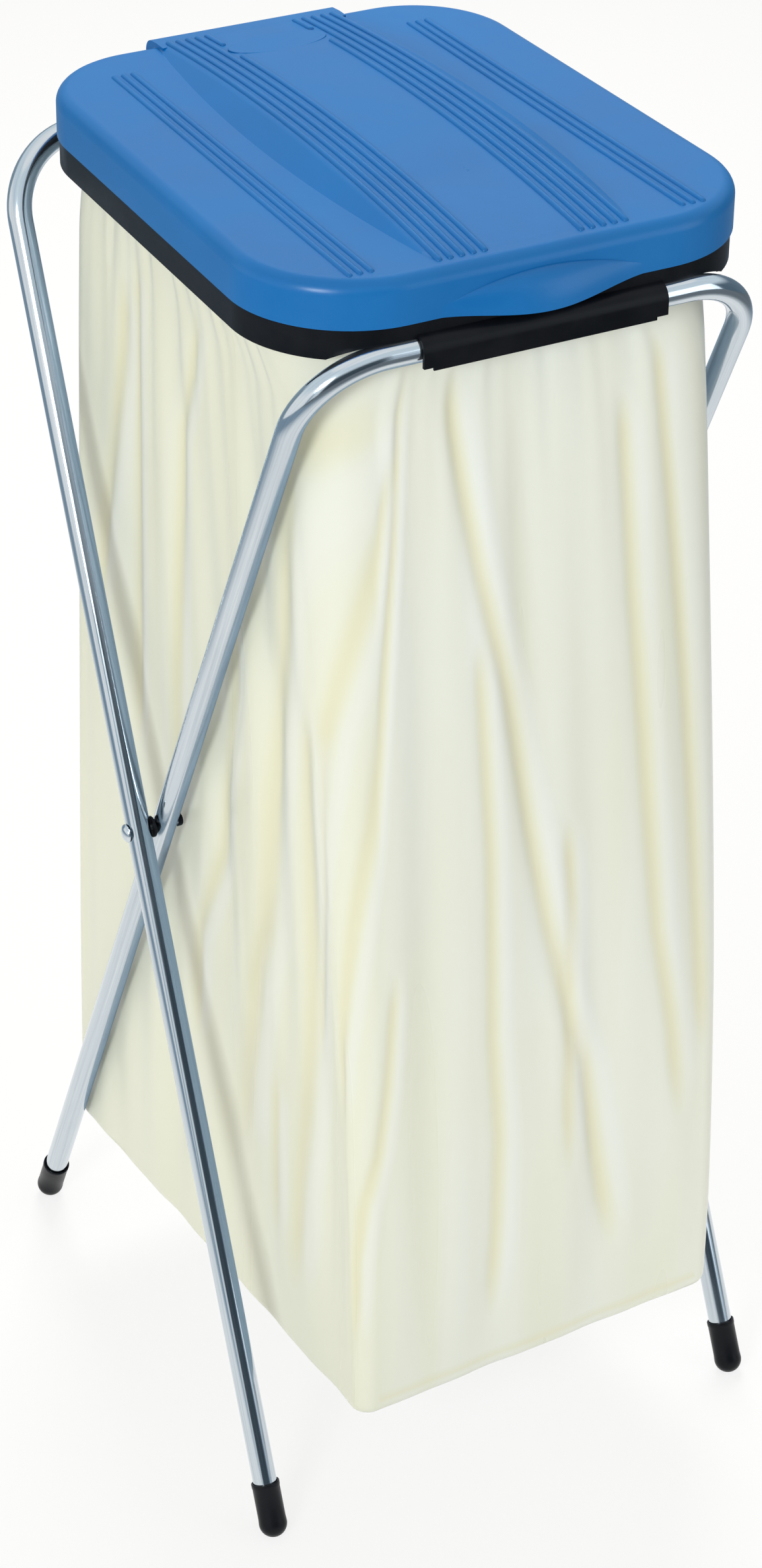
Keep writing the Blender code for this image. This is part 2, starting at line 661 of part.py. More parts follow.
def make_rib(name, side, front, rear, stretch, whole, arched):
    """A raised bead, half sunk in the lid, over one stretch of the whole rib's length."""
    low_y, high_y = stretch
    steps = max(1, round(RIB_STEPS * (high_y - low_y) / (whole[1] - whole[0]))) if arched else 1
    points = []
    for i in range(steps + 1):
        y = low_y + (high_y - low_y) * i / steps
        share = (y - whole[0]) / (whole[1] - whole[0])
        height = LID_TOP - RIB_SINK + (arch_height(y) if arched else 0.0)
        points.append((side * (front + (rear - front) * share), y, height))
    return rod(name, points, RIB_RADIUS, RIB_BEVEL_RESOLUTION)


def make_ribs():
    """Beads in groups of three and five, mirrored; the innermost two stop at the oval."""
    side_span = (PLAN_FRONT + SIDE_RIB_FRONT_MARGIN, PLAN_REAR - SIDE_RIB_REAR_MARGIN)
    middle_span = (PLAN_FRONT + MIDDLE_RIB_FRONT_MARGIN, PLAN_REAR - MIDDLE_RIB_REAR_MARGIN)
    before_oval = (middle_span[0], OVAL_Y - OVAL_HALF_WIDTH)
    after_oval = (OVAL_Y + OVAL_HALF_WIDTH, middle_span[1])
    ribs = []
    for side in (-1, 1):
        for front, rear in zip(SIDE_RIBS_AT_FRONT, SIDE_RIBS_AT_REAR):
            ribs.append(make_rib("side_rib", side, front, rear, side_span, side_span, False))
        innermost = MIDDLE_RIBS_AT_FRONT[-1]
        for front, rear in zip(MIDDLE_RIBS_AT_FRONT, MIDDLE_RIBS_AT_REAR):
            stretches = (before_oval, after_oval) if front == innermost else (middle_span,)
            for stretch in stretches:
                ribs.append(make_rib("middle_rib", side, front, rear, stretch, middle_span, True))
    return joined("ribs", ribs)


def housing_outline(wall):
    """Side view of the hinge housing behind the middle panel; wall moves it inwards."""
    outer_y = REAR_BAR_Y + HINGE_CLIP_RADIUS + GAP - wall
    top_y = outer_y - HOUSING_ROUND + wall
    top_z = LID_TOP + arch_height(top_y) - wall
    radius = HOUSING_ROUND - wall
    start_y = PANEL_REAR - 0.012
    outline = [(start_y, LID_TOP + arch_height(start_y) - wall)]
    outline += arc((top_y, top_z - radius), radius, 90, 0, HOUSING_STEPS)
    return outline, outer_y, start_y


def make_housing():
    outline, outer_y, start_y = housing_outline(0.0)
    inner_y = outer_y - LID_WALL
    skirt_y = PLAN_REAR + GAP
    over_bar = BAR_HEIGHT + HINGE_CLIP_RADIUS + RUNNING_GAP
    outline += [
        (outer_y, BAR_HEIGHT),
        (inner_y, BAR_HEIGHT),
        (inner_y, over_bar),
        (skirt_y, over_bar),
        (skirt_y, SKIRT_BOTTOM),
        (start_y, SKIRT_BOTTOM),
    ]
    return slab("hinge_housing", [outline], -HOUSING_HALF_WIDTH, HOUSING_HALF_WIDTH, along="X")


def make_housing_cavity():
    outline, outer_y, start_y = housing_outline(LID_WALL)
    low = BAR_HEIGHT - TUBE_RADIUS
    outline += [(outer_y, low), (start_y, low)]
    half = HOUSING_HALF_WIDTH - LID_WALL
    return slab("housing_cavity", [outline], -half, half, along="X")


def make_grip(name, wall, back_y):
    """The finger lip: the front upper quarter of a flattened ball, cut level below."""
    bpy.ops.mesh.primitive_uv_sphere_add(segments=40, ring_count=16, radius=1)
    grip = bpy.context.object
    grip.name = name
    bpy.context.collection.objects.unlink(grip)
    tools.objects.link(grip)
    grip.hide_render = True
    grip.display_type = "WIRE"
    size = (GRIP_HALF_WIDTH - wall, GRIP_REACH - wall, GRIP_HEIGHT - wall, 1)
    bottom = SKIRT_BOTTOM - GRIP_DROP
    low = bottom - wall
    place = Matrix.Translation((0, PLAN_FRONT + GRIP_INSET, bottom))
    grip.data.transform(place @ Matrix.Diagonal(size))
    shape = bmesh.new()
    shape.from_mesh(grip.data)
    for point, normal in (((0, 0, low), (0, 0, -1)), ((0, back_y, 0), (0, 1, 0))):
        geometry = shape.verts[:] + shape.edges[:] + shape.faces[:]
        cut = bmesh.ops.bisect_plane(
            shape, geom=geometry, plane_co=point, plane_no=normal, clear_outer=True
        )
        rim = [e for e in cut["geom_cut"] if isinstance(e, bmesh.types.BMEdge)]
        bmesh.ops.edgeloop_fill(shape, edges=rim)
    bmesh.ops.recalc_face_normals(shape, faces=shape.faces)
    shape.to_mesh(grip.data)
    shape.free()
    return grip


def round_top_edge(thing, height, radius):
    """Rounds the upper outer edge of a slab."""
    shape = bmesh.new()
    shape.from_mesh(thing.data)
    top = [
        edge
        for edge in shape.edges
        if all(abs(v.co.z - height) < 1e-6 for v in edge.verts)
        and abs(sum(f.normal.z for f in edge.link_faces)) < 1.5
    ]
    bmesh.ops.bevel(
        shape, geom=top, offset=radius, segments=LID_EDGE_STEPS, profile=0.5, affect="EDGES"
    )
    shape.to_mesh(thing.data)
    shape.free()


def make_lid():
    """The blue lid: a shell with an arched middle panel, ribs, finger lip and hinge clips."""
    lid = slab("lid", [plan(0.0)], SKIRT_BOTTOM, LID_TOP)
    round_top_edge(lid, LID_TOP, LID_EDGE_RADIUS)
    cavity = slab("lid_cavity", [plan(LID_WALL)], RING_BOTTOM, LID_TOP - LID_WALL)
    round_top_edge(cavity, LID_TOP - LID_WALL, LID_EDGE_RADIUS - LID_WALL)
    boolean(lid, "UNION", make_panel("panel", 0.0, PANEL_REAR))
    boolean(lid, "UNION", make_housing())
    boolean(lid, "UNION", make_grip("grip", 0.0, PLAN_FRONT + RING_INSET - GAP))
    boolean(lid, "DIFFERENCE", cavity)
    boolean(lid, "DIFFERENCE", make_panel("panel_cavity", LID_WALL, PANEL_REAR - LID_WALL))
    boolean(lid, "DIFFERENCE", make_housing_cavity())
    boolean(lid, "DIFFERENCE", make_grip("grip_cavity", LID_WALL, PLAN_FRONT + LID_WALL * 2))
    boolean(lid, "UNION", make_ribs())
    oval = [
        (
            OVAL_HALF_LENGTH * math.cos(2 * math.pi * k / OVAL_STEPS),
            OVAL_Y + OVAL_HALF_WIDTH * math.sin(2 * math.pi * k / OVAL_STEPS),
        )
        for k in range(OVAL_STEPS)
    ]
    oval_top = LID_TOP + arch_height(OVAL_Y) + OVAL_HEIGHT
    boolean(lid, "UNION", slab("oval_pad", [oval], LID_TOP + arch_height(OVAL_Y) - LID_WALL * 0.6, oval_top))
    for side, word in ((-1, "left"), (1, "right")):
        size = (LID_CLIP_OPENING, LID_CLIP_START, LID_CLIP_LENGTH, side)
        boolean(lid, "UNION", collar_blank(f"lid_clip_{word}", *size))
    boolean(lid, "DIFFERENCE", hinge_bore("lid_bore", HOUSING_HALF_WIDTH + CLIP_WALL))
    return lid


def bag_outline(half_width, front, rear, radius):
    corners = [(half_width, front), (half_width, rear), (-half_width, rear), (-half_width, front)]
    return rounded_outline(corners, [radius] * 4, PLAN_CORNER_STEPS)


def make_bag():
    """One open sheet of film from the folded cuff over the rim down to the bottom, given its thickness."""
    cuff = CUFF_INSET - BAG_FILM / 2
    film = FILM_INSET + BAG_FILM / 2
    levels = [
        (plan(cuff), RIM_TOP - BAG_CUFF_DROP),
        (plan(cuff), BAG_FOLD),
        (plan(film), BAG_FOLD),
        (plan(film), RING_SHOULDER - RING_WALL),
    ]
    top_front = PLAN_FRONT + film
    top_rear = PLAN_REAR - film
    bottom_front = FRONT_BAR_Y - BAG_FORWARD
    bottom_rear = REAR_BAR_Y - BAG_BACK_SHORT
    below_bars = BAR_HEIGHT - TUBE_DIAMETER
    heights = [BAR_HEIGHT]
    heights += [below_bars + (BAG_BOTTOM - below_bars) * k / BAG_BULGE_STEPS for k in range(BAG_BULGE_STEPS + 1)]
    for height in heights:
        share = min(1.0, (below_bars - height) / (below_bars - BAG_BOTTOM))
        lean = math.sin(max(0.0, share) * math.pi / 2)
        front = top_front + (bottom_front - top_front) * lean
        rear = top_rear + (bottom_rear - top_rear) * lean
        radius = BAG_TOP_CORNER_RADIUS + (BAG_BOTTOM_CORNER_RADIUS - BAG_TOP_CORNER_RADIUS) * lean
        levels.append((bag_outline(BAG_HALF_WIDTH, front, rear, radius), height))
    shape = bmesh.new()
    rings = [[shape.verts.new((*point, height)) for point in outline] for outline, height in levels]
    count = len(rings[0])
    for upper, lower in zip(rings, rings[1:]):
        for i in range(count):
            j = (i + 1) % count
            shape.faces.new((upper[i], lower[i], lower[j], upper[j]))
    shape.faces.new(rings[-1])
    bmesh.ops.recalc_face_normals(shape, faces=shape.faces)
    mesh = bpy.data.meshes.new("bag")
    shape.to_mesh(mesh)
    shape.free()
    bag = add_mesh_object("bag", mesh)
    wall = bag.modifiers.new("film", "SOLIDIFY")
    wall.thickness = BAG_FILM
    wall.offset = 0
    wall.use_even_offset = True
    return bag


zinc = finish("zinc_plated_steel", (0.62, 0.65, 0.68), 0.25, metallic=1.0)
black_plastic = finish("black_plastic", (0.012, 0.012, 0.014), 0.38)
blue_plastic = finish("blue_plastic", (0.01, 0.13, 0.50), 0.35)
bag_film = finish("bag_film", (0.80, 0.80, 0.66), 0.40)

fold_axis = add_axis("frame_fold_axis", PIVOT_POINT)
ring_axis = add_axis("ring_swing_axis", HINGE_POINT)
lid_axis = add_axis("lid_hinge_axis", HINGE_POINT)

rear = make_frame("rear_frame", REAR_BAR_HALF_WIDTH, REAR_BAR_Y, FRONT_FOOT_Y)
add_part(rear, "rear_frame", zinc)
front = make_frame("front_frame", FRONT_BAR_HALF_WIDTH, FRONT_BAR_Y, REAR_FOOT_Y)
add_part(front, "front_frame", zinc, PIVOT_POINT, fold_axis)

for side, word in ((-1, "left"), (1, "right")):
    front_cap = make_foot_cap(f"foot_cap_front_{word}", side, REAR_BAR_HALF_WIDTH, REAR_BAR_Y, FRONT_FOOT_Y)
    add_part(front_cap, f"foot_cap_front_{word}", black_plastic)
    rear_cap = make_foot_cap(f"foot_cap_rear_{word}", side, FRONT_BAR_HALF_WIDTH, FRONT_BAR_Y, REAR_FOOT_Y)
    add_part(rear_cap, f"foot_cap_rear_{word}", black_plastic, PIVOT_POINT, fold_axis)
    add_part(make_rivet(f"pivot_rivet_{word}", side), f"pivot_rivet_{word}", zinc)
    add_part(make_spacer(f"pivot_spacer_{word}", side), f"pivot_spacer_{word}", black_plastic)

add_part(make_ring(), "holder_ring", black_plastic, HINGE_POINT, ring_axis)
add_part(make_clamp_ring(), "bag_clamp_ring", black_plastic, HINGE_POINT, ring_axis)
add_part(make_bag(), "bag", bag_film, HINGE_POINT, ring_axis)
add_part(make_lid(), "lid", blue_plastic, HINGE_POINT, lid_axis)
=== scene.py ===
"""Folding bin bag holder, dressed: zinc tube frames, black ring, ribbed blue lid and a film bag."""
import math

import bmesh
import bpy
import numpy as np
from mathutils import Matrix, Vector


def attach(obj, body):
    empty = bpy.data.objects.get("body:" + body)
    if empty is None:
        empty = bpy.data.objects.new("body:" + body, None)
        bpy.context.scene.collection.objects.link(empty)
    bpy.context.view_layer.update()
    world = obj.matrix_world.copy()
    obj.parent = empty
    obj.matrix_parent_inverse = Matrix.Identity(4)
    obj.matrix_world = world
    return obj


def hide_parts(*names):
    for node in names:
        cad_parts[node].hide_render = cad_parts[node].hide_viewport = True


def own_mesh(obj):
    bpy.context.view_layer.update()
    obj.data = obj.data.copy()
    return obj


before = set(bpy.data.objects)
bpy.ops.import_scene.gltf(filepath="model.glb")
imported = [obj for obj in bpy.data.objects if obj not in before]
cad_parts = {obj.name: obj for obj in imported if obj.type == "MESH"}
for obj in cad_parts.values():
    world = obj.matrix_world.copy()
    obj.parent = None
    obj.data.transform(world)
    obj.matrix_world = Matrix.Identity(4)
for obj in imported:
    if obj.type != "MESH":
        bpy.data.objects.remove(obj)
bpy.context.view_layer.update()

# The holder's own sizes, as in the CAD part, in metres
GAP = 0.0003
RUNNING_GAP = 0.0004
TUBE_RADIUS = 0.008
BEND_RADIUS = 0.052
BAR_HEIGHT = 0.850
BAR_SPAN = 0.381
FOOT_SPAN = 0.402
FRONT_BAR_HALF_WIDTH = 0.152
REAR_BAR_HALF_WIDTH = 0.1705
LEG_SPLAY = 0.009
FRONT_BAR_Y = -BAR_SPAN / 2
REAR_BAR_Y = BAR_SPAN / 2
FRONT_FOOT_Y = -FOOT_SPAN / 2
REAR_FOOT_Y = FOOT_SPAN / 2
# Each frame: half the width of its bar, and the places of its bar and its feet
REAR_FRAME = (REAR_BAR_HALF_WIDTH, REAR_BAR_Y, FRONT_FOOT_Y)
FRONT_FRAME = (FRONT_BAR_HALF_WIDTH, FRONT_BAR_Y, REAR_FOOT_Y)
CAP_BORE_RADIUS = TUBE_RADIUS + GAP
CAP_RADIUS = CAP_BORE_RADIUS + 0.0012
CAP_DEPTH = 0.029
CAP_FLOOR = 0.0012
FOOT_HEIGHT = CAP_RADIUS - 0.0006
PIVOT_SHARE = BAR_SPAN / (BAR_SPAN + FOOT_SPAN)
PIVOT_HEIGHT = BAR_HEIGHT + (FOOT_HEIGHT - BAR_HEIGHT) * PIVOT_SHARE
INNER_LEG_X = FRONT_BAR_HALF_WIDTH + LEG_SPLAY * PIVOT_SHARE
OUTER_LEG_X = REAR_BAR_HALF_WIDTH + LEG_SPLAY * PIVOT_SHARE
RIVET_SHANK_RADIUS = 0.0027
RIVET_HEAD_RADIUS = 0.0061
RIVET_HEAD_HEIGHT = 0.0034
RIVET_TAIL_RADIUS = 0.0034
RIVET_TAIL_HEIGHT = 0.0024
SPACER_RADIUS = 0.0071
TAIL_CAP_WALL = 0.0009

# The lid's plan, a rounded trapezium that the ring and the bag's mouth follow
PLAN_FRONT = FRONT_BAR_Y - 0.0035
PLAN_REAR = REAR_BAR_Y + 0.0005
PLAN_FRONT_HALF_WIDTH = 0.1665
PLAN_REAR_HALF_WIDTH = 0.1565
PLAN_FRONT_RADIUS = 0.076
PLAN_REAR_RADIUS = 0.068

# Ring, its clips and the clamp on the bag's mouth
RING_BOTTOM = BAR_HEIGHT - 0.001
RING_SHOULDER = BAR_HEIGHT + 0.018
RING_INSET = 0.0015
RING_WALL = 0.0025
RIM_INSET = 0.014
RIM_TOP = RING_SHOULDER + 0.012
RIM_INNER_INSET = RIM_INSET + RING_WALL
SADDLE_RADIUS = TUBE_RADIUS + GAP
HINGE_BORE_RADIUS = TUBE_RADIUS + RUNNING_GAP
HINGE_CLIP_RADIUS = HINGE_BORE_RADIUS + 0.0022
NOTCH_GAP = 0.0006
NOTCH_BACK = 0.014
BAG_FILM = 0.0006
CUFF_INSET = RIM_INSET - GAP
FILM_INSET = RIM_INNER_INSET + GAP
BAG_FOLD = RIM_TOP + GAP + BAG_FILM / 2
BAG_CUFF_DROP = 0.010
CLAMP_WALL = 0.0020
CLAMP_BOTTOM = RING_SHOULDER + 0.001
CLAMP_TOP = BAG_FOLD + BAG_FILM / 2 + GAP + CLAMP_WALL

# The front clip and the lip below it: drop below the bar's middle, half length and wall
CLIP = (0.0085, 0.082, 0.0022)
CLIP_LIP = (0.0110, 0.075, 0.0014)
RING_COLLAR_START = 0.007
RING_COLLAR_LENGTH = 0.034
EDGE_BREAK = 0.0004
BELOW_BAR = BAR_HEIGHT - TUBE_RADIUS * 2

# Bag: the hung film ends a little forward of its solid and a little turned, as a soft bag does
BAG_HALF_WIDTH = 0.1400
BAG_BOTTOM = 0.097
BAG_FRONT = -0.221
BAG_REAR = 0.177
BAG_MIDDLE_Y = (BAG_FRONT + BAG_REAR) / 2
BAG_TURN = 3.2
BAG_TOP_CORNER = 0.040
BAG_BOTTOM_CORNER = 0.012
BAG_SAG = 0.004
BAG_EDGE = 0.008
# The film's side: where it begins, and the height and the drop over which it leaves the mouth's shape
BAG_SIDE_TOP = BAR_HEIGHT + 0.006
BAG_EASE = (BAR_HEIGHT + 0.010, 0.060)
BAG_AROUND = (52, 28, 88, 28, 52)
BAG_ROWS = 186

# Creases of the film in millimetres: depth, width, and then by turns the place round the bag and the
# height. The place runs from the middle of the front along the bottom's outline, left where negative.
CREASES = (
    (3.5, 7.4, -68, 838, -64, 789, -57, 752, -44, 689, -24, 606, -9, 511, 5, 433, 15, 384, 33, 317,
     44, 239, 60, 143),
    (2.1, 6, -48, 660, -45, 580, -41, 500, -40, 361, -35, 288, -36, 214, -40, 120),
    (2.2, 3.6, -108, 840, -115, 722, -123, 633, -130, 541, -137, 478, -147, 380, -150, 300),
    (2.1, 4, -118, 790, -122, 753, -132, 681, -143, 607, -156, 483, -173, 404, -182, 330),
    (2.2, 4.4, -115, 450, -122, 355, -128, 308, -137, 267, -142, 225, -145, 130),
    (2.4, 7.2, 81, 800, 81, 720, 81, 648, 85, 510, 90, 406, 101, 329, 110, 230),
    (1.8, 6, 20, 520, 22, 450, 20, 380, 18, 300, 20, 220),
    (1.5, 6.6, 112, 835, 118, 700, 122, 560, 124, 420, 128, 280),
    (3.5, 13.2, -129, 830, -142, 790, -157, 762, -172, 712, -190, 643, -214, 568, -229, 512, -246, 418,
     -262, 374, -281, 290, -292, 200),
    (2.5, 10.8, -160, 620, -174, 540, -186, 400, -201, 299, -212, 241, -223, 130),
    (2.8, 10.2, -446, 810, -452, 750, -457, 721, -467, 668, -480, 611, -492, 520),
    (2.4, 8.4, -421, 830, -423, 782, -426, 701, -431, 582, -434, 440),
    (2.4, 9, -300, 830, -321, 773, -347, 723, -360, 631, -368, 526, -372, 400),
    (2.1, 7.8, -262, 640, -272, 573, -298, 493, -307, 443, -341, 364, -352, 250),
    (1.8, 7.2, -238, 330, -244, 250, -247, 150),
    (2.4, 7.8, 190, 835, 205, 720, 212, 600, 216, 450),
    (2.9, 10.8, 160, 800, 185, 650, 215, 500, 240, 350, 262, 200),
    (2.1, 8.4, 300, 830, 312, 700, 318, 520, 330, 380),
    (2.5, 9.6, 400, 820, 392, 690, 372, 540, 350, 400, 338, 260),
    (2.1, 8.4, 440, 640, 446, 480, 440, 320, 445, 180),
    (3.2, 9.6, 520, 830, 530, 700, 550, 560, 580, 430, 600, 300),
    (2.5, 8.4, 625, 840, 628, 690, 640, 540, 650, 380, 648, 230),
    (2.8, 9.6, -560, 835, -566, 700, -580, 560, -598, 420, -602, 280),
    (2.1, 7.2, 575, 640, 590, 500, 585, 330, 590, 190),
)
# How much of its depth a crease has, how high its crests are, and how it runs out below and above
CREASE_SHARE = 0.78
CREST_SHARE = 0.20
CREASE_ENDS = (0.070, 0.045)
# The crests beside a crease: height, and place and width in widths of the crease
CRESTS = ((1.0, 1.9, 1.1), (0.5, -2.1, 1.3))
# A line of painted shade across the front of the film, a little above its bottom edge
SHADE_LINE_RISE = 0.013
SHADE_LINE_WIDTH = 0.0036
SHADE_LINE_HALF_LENGTH = 0.128
SHADE_LINE_STRENGTH = 0.7
# Slow waves of the film: height of the wave, length round the bag, lean and start
WAVES = ((0.0011, 0.113, 0.30, 0.4), (0.0009, 0.071, -0.22, 1.9), (0.0007, 0.043, 0.12, 4.1))
# Small gathers under the ring, which die out below it
GATHERS = ((0.0005, 0.0243, 0.0, 0.3), (0.0006, 0.0371, 0.0, 2.2), (0.0002, 0.0157, 0.0, 5.0))
# Waves grow over a drop below the ring, and ease towards the bottom, where a part of them is left
WAVE_GROWTH, WAVE_EASE, WAVE_LEFT = 0.12, 0.10, 0.25
# Gathers grow over a short drop below the ring, and then fade
GATHER_GROWTH, GATHER_FADE = 0.012, 0.085

# Lid
SKIRT_BOTTOM = RING_SHOULDER + GAP
LID_WALL = 0.0025
LID_TOP = CLAMP_TOP + 0.0123 + LID_WALL
LID_EDGE_RADIUS = 0.009
PANEL_CROWN = 0.011
PANEL_FRONT = PLAN_FRONT + 0.012
PANEL_REAR = PLAN_REAR - 0.003
PANEL_CROWN_Y = (PLAN_FRONT + PLAN_REAR) / 2 + 0.0135
PANEL_FRONT_HALF_WIDTH = 0.0655
PANEL_REAR_HALF_WIDTH = 0.0620
PANEL_SIDE_RUN = 1.64
PANEL_SINK = 0.0040
PANEL_SETTLE = 0.00012
PANEL_CUTS = 47
PANEL_ROUND = 0.0035
LID_EDGE_BREAK = 0.0006
RIB_RADIUS = 0.0022
RIB_SINK = 0.0007
SIDE_RIBS = ((0.1180, 0.1120), (0.1110, 0.1055), (0.1040, 0.0990))
MIDDLE_RIBS = ((0.0622, 0.0590), (0.0547, 0.0522), (0.0472, 0.0453), (0.0397, 0.0385), (0.0322, 0.0316))
SIDE_RIB_SPAN = (PLAN_FRONT + 0.018, PLAN_REAR - 0.041)
MIDDLE_RIB_SPAN = (PLAN_FRONT + 0.014, PLAN_REAR - 0.009)
OVAL_Y = PLAN_REAR - 0.046
OVAL_HALF_LENGTH = 0.0345
OVAL_HALF_WIDTH = 0.0145
OVAL_HEIGHT = 0.0009
OVAL_DEPTH = 0.003
GRIP_HALF_WIDTH = 0.080
GRIP_REACH = 0.0115
GRIP_HEIGHT = 0.0225
GRIP_DROP = 0.0053
GRIP_STATIONS = 56
# The lip's ends lie a hair behind the skirt and above its edge, and are this high
GRIP_TUCK = 0.0006
GRIP_LIFT = 0.0004
GRIP_END_HEIGHT = 0.0015
# Powers that shape the lip: how it gains height, and how its face curves out and up
GRIP_GAIN, GRIP_OUT, GRIP_UP = 0.55, 1.25, 0.92
HOUSING_HALF_WIDTH = 0.0660
HOUSING_ROUND = 0.0090
# The housing's top begins below the panel's surface and comes through it just before its rear
HOUSING_START_Y = PANEL_REAR - 0.012
HOUSING_START_SINK = 0.0008
HOUSING_CROSS_Y = PANEL_REAR - 0.003
LID_CLIP_START = 0.036
LID_CLIP_LENGTH = 0.022

# Light that comes from all round, a little warm, so that shadows on the film are warm
WARM_AIR = (1.0, 0.955, 0.84)

# The finishes, their shades as (place in a ramp, colour) or as one colour
ZINC_SHADES = ((0.30, (0.53, 0.585, 0.63)), (0.52, (0.60, 0.66, 0.70)), (0.72, (0.69, 0.735, 0.765)))
DULL_ZINC = (0.50, 0.555, 0.60)
BLACK_MOULDING = {
    "scales": (1300.0, 22.0),
    "shades": ((0.30, (0.003, 0.004, 0.006)), (0.70, (0.007, 0.008, 0.011))),
    "dust_colour": (0.05, 0.05, 0.055),
    "dusty": 0.35,
    "specular": 0.14,
    "gloss": (0.27, 0.42),
    "relief": 0.10,
}
BLUE_MOULDING = {
    "scales": (1500.0, 9.0),
    "shades": ((0.30, (0.001, 0.136, 0.425)), (0.70, (0.002, 0.152, 0.460))),
    "dust_colour": (0.20, 0.30, 0.50),
    "dusty": 0.22,
    "specular": 0.36,
    "gloss": (0.26, 0.38),
    "relief": 0.04,
}
FILM_SHADES = ((0.30, (0.832, 0.845, 0.728)), (0.50, (0.842, 0.865, 0.785)), (0.70, (0.850, 0.880, 0.835)))
FILM_CLOUD = (0.840, 0.855, 0.725)
# Painted shade: the film's left side is tinted warmer and darker
FILM_LEFT_SHADE = (0.845, 0.840, 0.655)
# Painted shade: the film's creases are tinted darker and warmer
FILM_CREASE_SHADE = (0.800, 0.765, 0.520)
# Painted highlight: the crests of the film's folds are tinted paler and colder
FILM_CREST_HIGHLIGHT = (0.860, 0.885, 0.900)
# The film's colour to gloss rays alone, a painted reflection: the tubes beside it mirror a cold shade
# rather than cream
FILM_IN_METAL = (0.36, 0.47, 0.57)

# The floor, and as metal sees it: white paper, shaded with distance, and darker ground beyond it
FLOOR_WHITE = (0.86, 0.86, 0.86)
FLOOR_GLOW = 0.80
PAPER_MIDDLE = (-1.9, 2.6, 0.0)
PAPER_REACH = 3.95
PAPER_FADE = (0.8, 1.6)
PAPER_SHADE = (0.20, 0.30, 0.40)
GROUND = (0.10, 0.13, 0.16)
WHITE = (1.0, 1.0, 1.0)

# Lamps: name, place, aim, size, power and colour
LAMPS = (
    ("key_light", (-2.2, -1.7, 1.7), (0, 0, 0.5), 0.7, 39, (0.93, 0.98, 1.0)),
    ("top_light", (0.9, 1.7, 2.7), (0, 0, 0.9), 1.3, 60, WHITE),
    ("fill_light", (2.0, -2.4, 1.2), (0, 0, 0.4), 1.8, 14.5, (0.90, 0.95, 1.0)),
)

# The studio's walls, once round from behind on the left: (share of a turn, colour)
WALL_BANDS = (
    (0.000, (1.00, 1.00, 1.00)),
    (0.070, (1.00, 1.00, 1.00)),
    (0.090, (0.30, 0.38, 0.44)),
    (0.115, (0.80, 0.86, 0.90)),
    (0.135, (0.80, 0.86, 0.90)),
    (0.150, (0.06, 0.08, 0.10)),
    (0.290, (0.05, 0.07, 0.09)),
    (0.315, (0.36, 0.43, 0.50)),
    (0.375, (0.42, 0.50, 0.57)),
    (0.400, (0.10, 0.15, 0.20)),
    (0.600, (0.16, 0.22, 0.28)),
    (0.660, (0.45, 0.50, 0.54)),
    (0.720, (0.30, 0.38, 0.44)),
    (0.850, (0.26, 0.34, 0.40)),
    (0.885, (1.00, 1.00, 1.00)),
    (1.000, (1.00, 1.00, 1.00)),
)

# The walls' bright head, which the lid's top mirrors, and the heights between which it begins
WALL_HEAD = (0.78, 0.86, 0.92)
WALL_FADE = (1.7, 2.7)

# How finely the pieces are made, how close seams are merged, and how far a failed cut is moved
TUBE_STEPS = 40
TUBE_END_LIFT = 0.0015
BEND_STEPS = 20
CORNER_STEPS = 22
TURNED_STEPS = 48
PLAN_STEPS = (2, CORNER_STEPS, 4, CORNER_STEPS, 4)
SEAM = 0.000001
NUDGES = (0.0, 0.000003, -0.000007, 0.000011, -0.000017)


# Camera, at the photograph's place

def aim_camera():
    """The camera that the photograph was taken with, worked out from the holder's own sizes."""
    image_width, image_height = 1154, 2376
    azimuth, elevation, roll = (math.radians(a) for a in (-29.2, 30.0, 1.1))
    target = Vector((0.0238, 0.0, 0.5369))
    distance = 2.6097
    focal_pixels = 5993.8
    centre_x, centre_y = 619.9, 958.8
    film = 36.0
    level = math.cos(elevation)
    view = Vector((-math.sin(azimuth) * level, math.cos(azimuth) * level, -math.sin(elevation)))
    right = Vector((0, 0, 1)).cross(-view).normalized()
    up = (-view).cross(right)
    turned_right = right * math.cos(roll) + up * math.sin(roll)
    turned_up = up * math.cos(roll) - right * math.sin(roll)
    data = bpy.data.cameras.new("photo_camera")
    data.sensor_fit = "VERTICAL"
    data.sensor_height = film
    data.lens = focal_pixels / image_height * film
    data.shift_x = (image_width / 2 - centre_x) / image_height
    data.shift_y = (centre_y - image_height / 2) / image_height
    data.clip_start = 0.05
    data.clip_end = 50.0
    place = Matrix((turned_right, turned_up, -view)).transposed().to_4x4()
    place.translation = target - view * distance
    camera = bpy.data.objects.new("photo_camera", data)
    camera.matrix_world = place
    bpy.context.scene.collection.objects.link(camera)
    bpy.context.scene.camera = camera


# Ways of working

def clear_selection():
    for other in list(bpy.context.selected_objects):
        other.select_set(False)


def activate(piece):
    """Makes a piece the one that the next step works on."""
    clear_selection()
    bpy.context.view_layer.objects.active = piece
    piece.select_set(True)


def start_edit(piece):
    activate(piece)
    bpy.ops.object.mode_set(mode="EDIT")


def stop_edit():
    bpy.ops.object.mode_set(mode="OBJECT")


def name_piece(piece, name):
    piece.name = name
    piece.data.name = name
    return piece


def new_piece(name, add, **settings):
    """A named piece, begun as one of the plain shapes."""
    clear_selection()
    add(**settings)
    return name_piece(bpy.context.object, name)


def pick_edges(piece, rule):
    """Selects, in edit mode, the edges whose two ends meet a rule."""
    bpy.context.tool_settings.mesh_select_mode = (False, True, False)
    bpy.ops.mesh.select_all(action="DESELECT")
    shape = bmesh.from_edit_mesh(piece.data)
    for edge in shape.edges:
        edge.select_set(rule(edge.verts[0].co, edge.verts[1].co))
    bmesh.update_edit_mesh(piece.data)


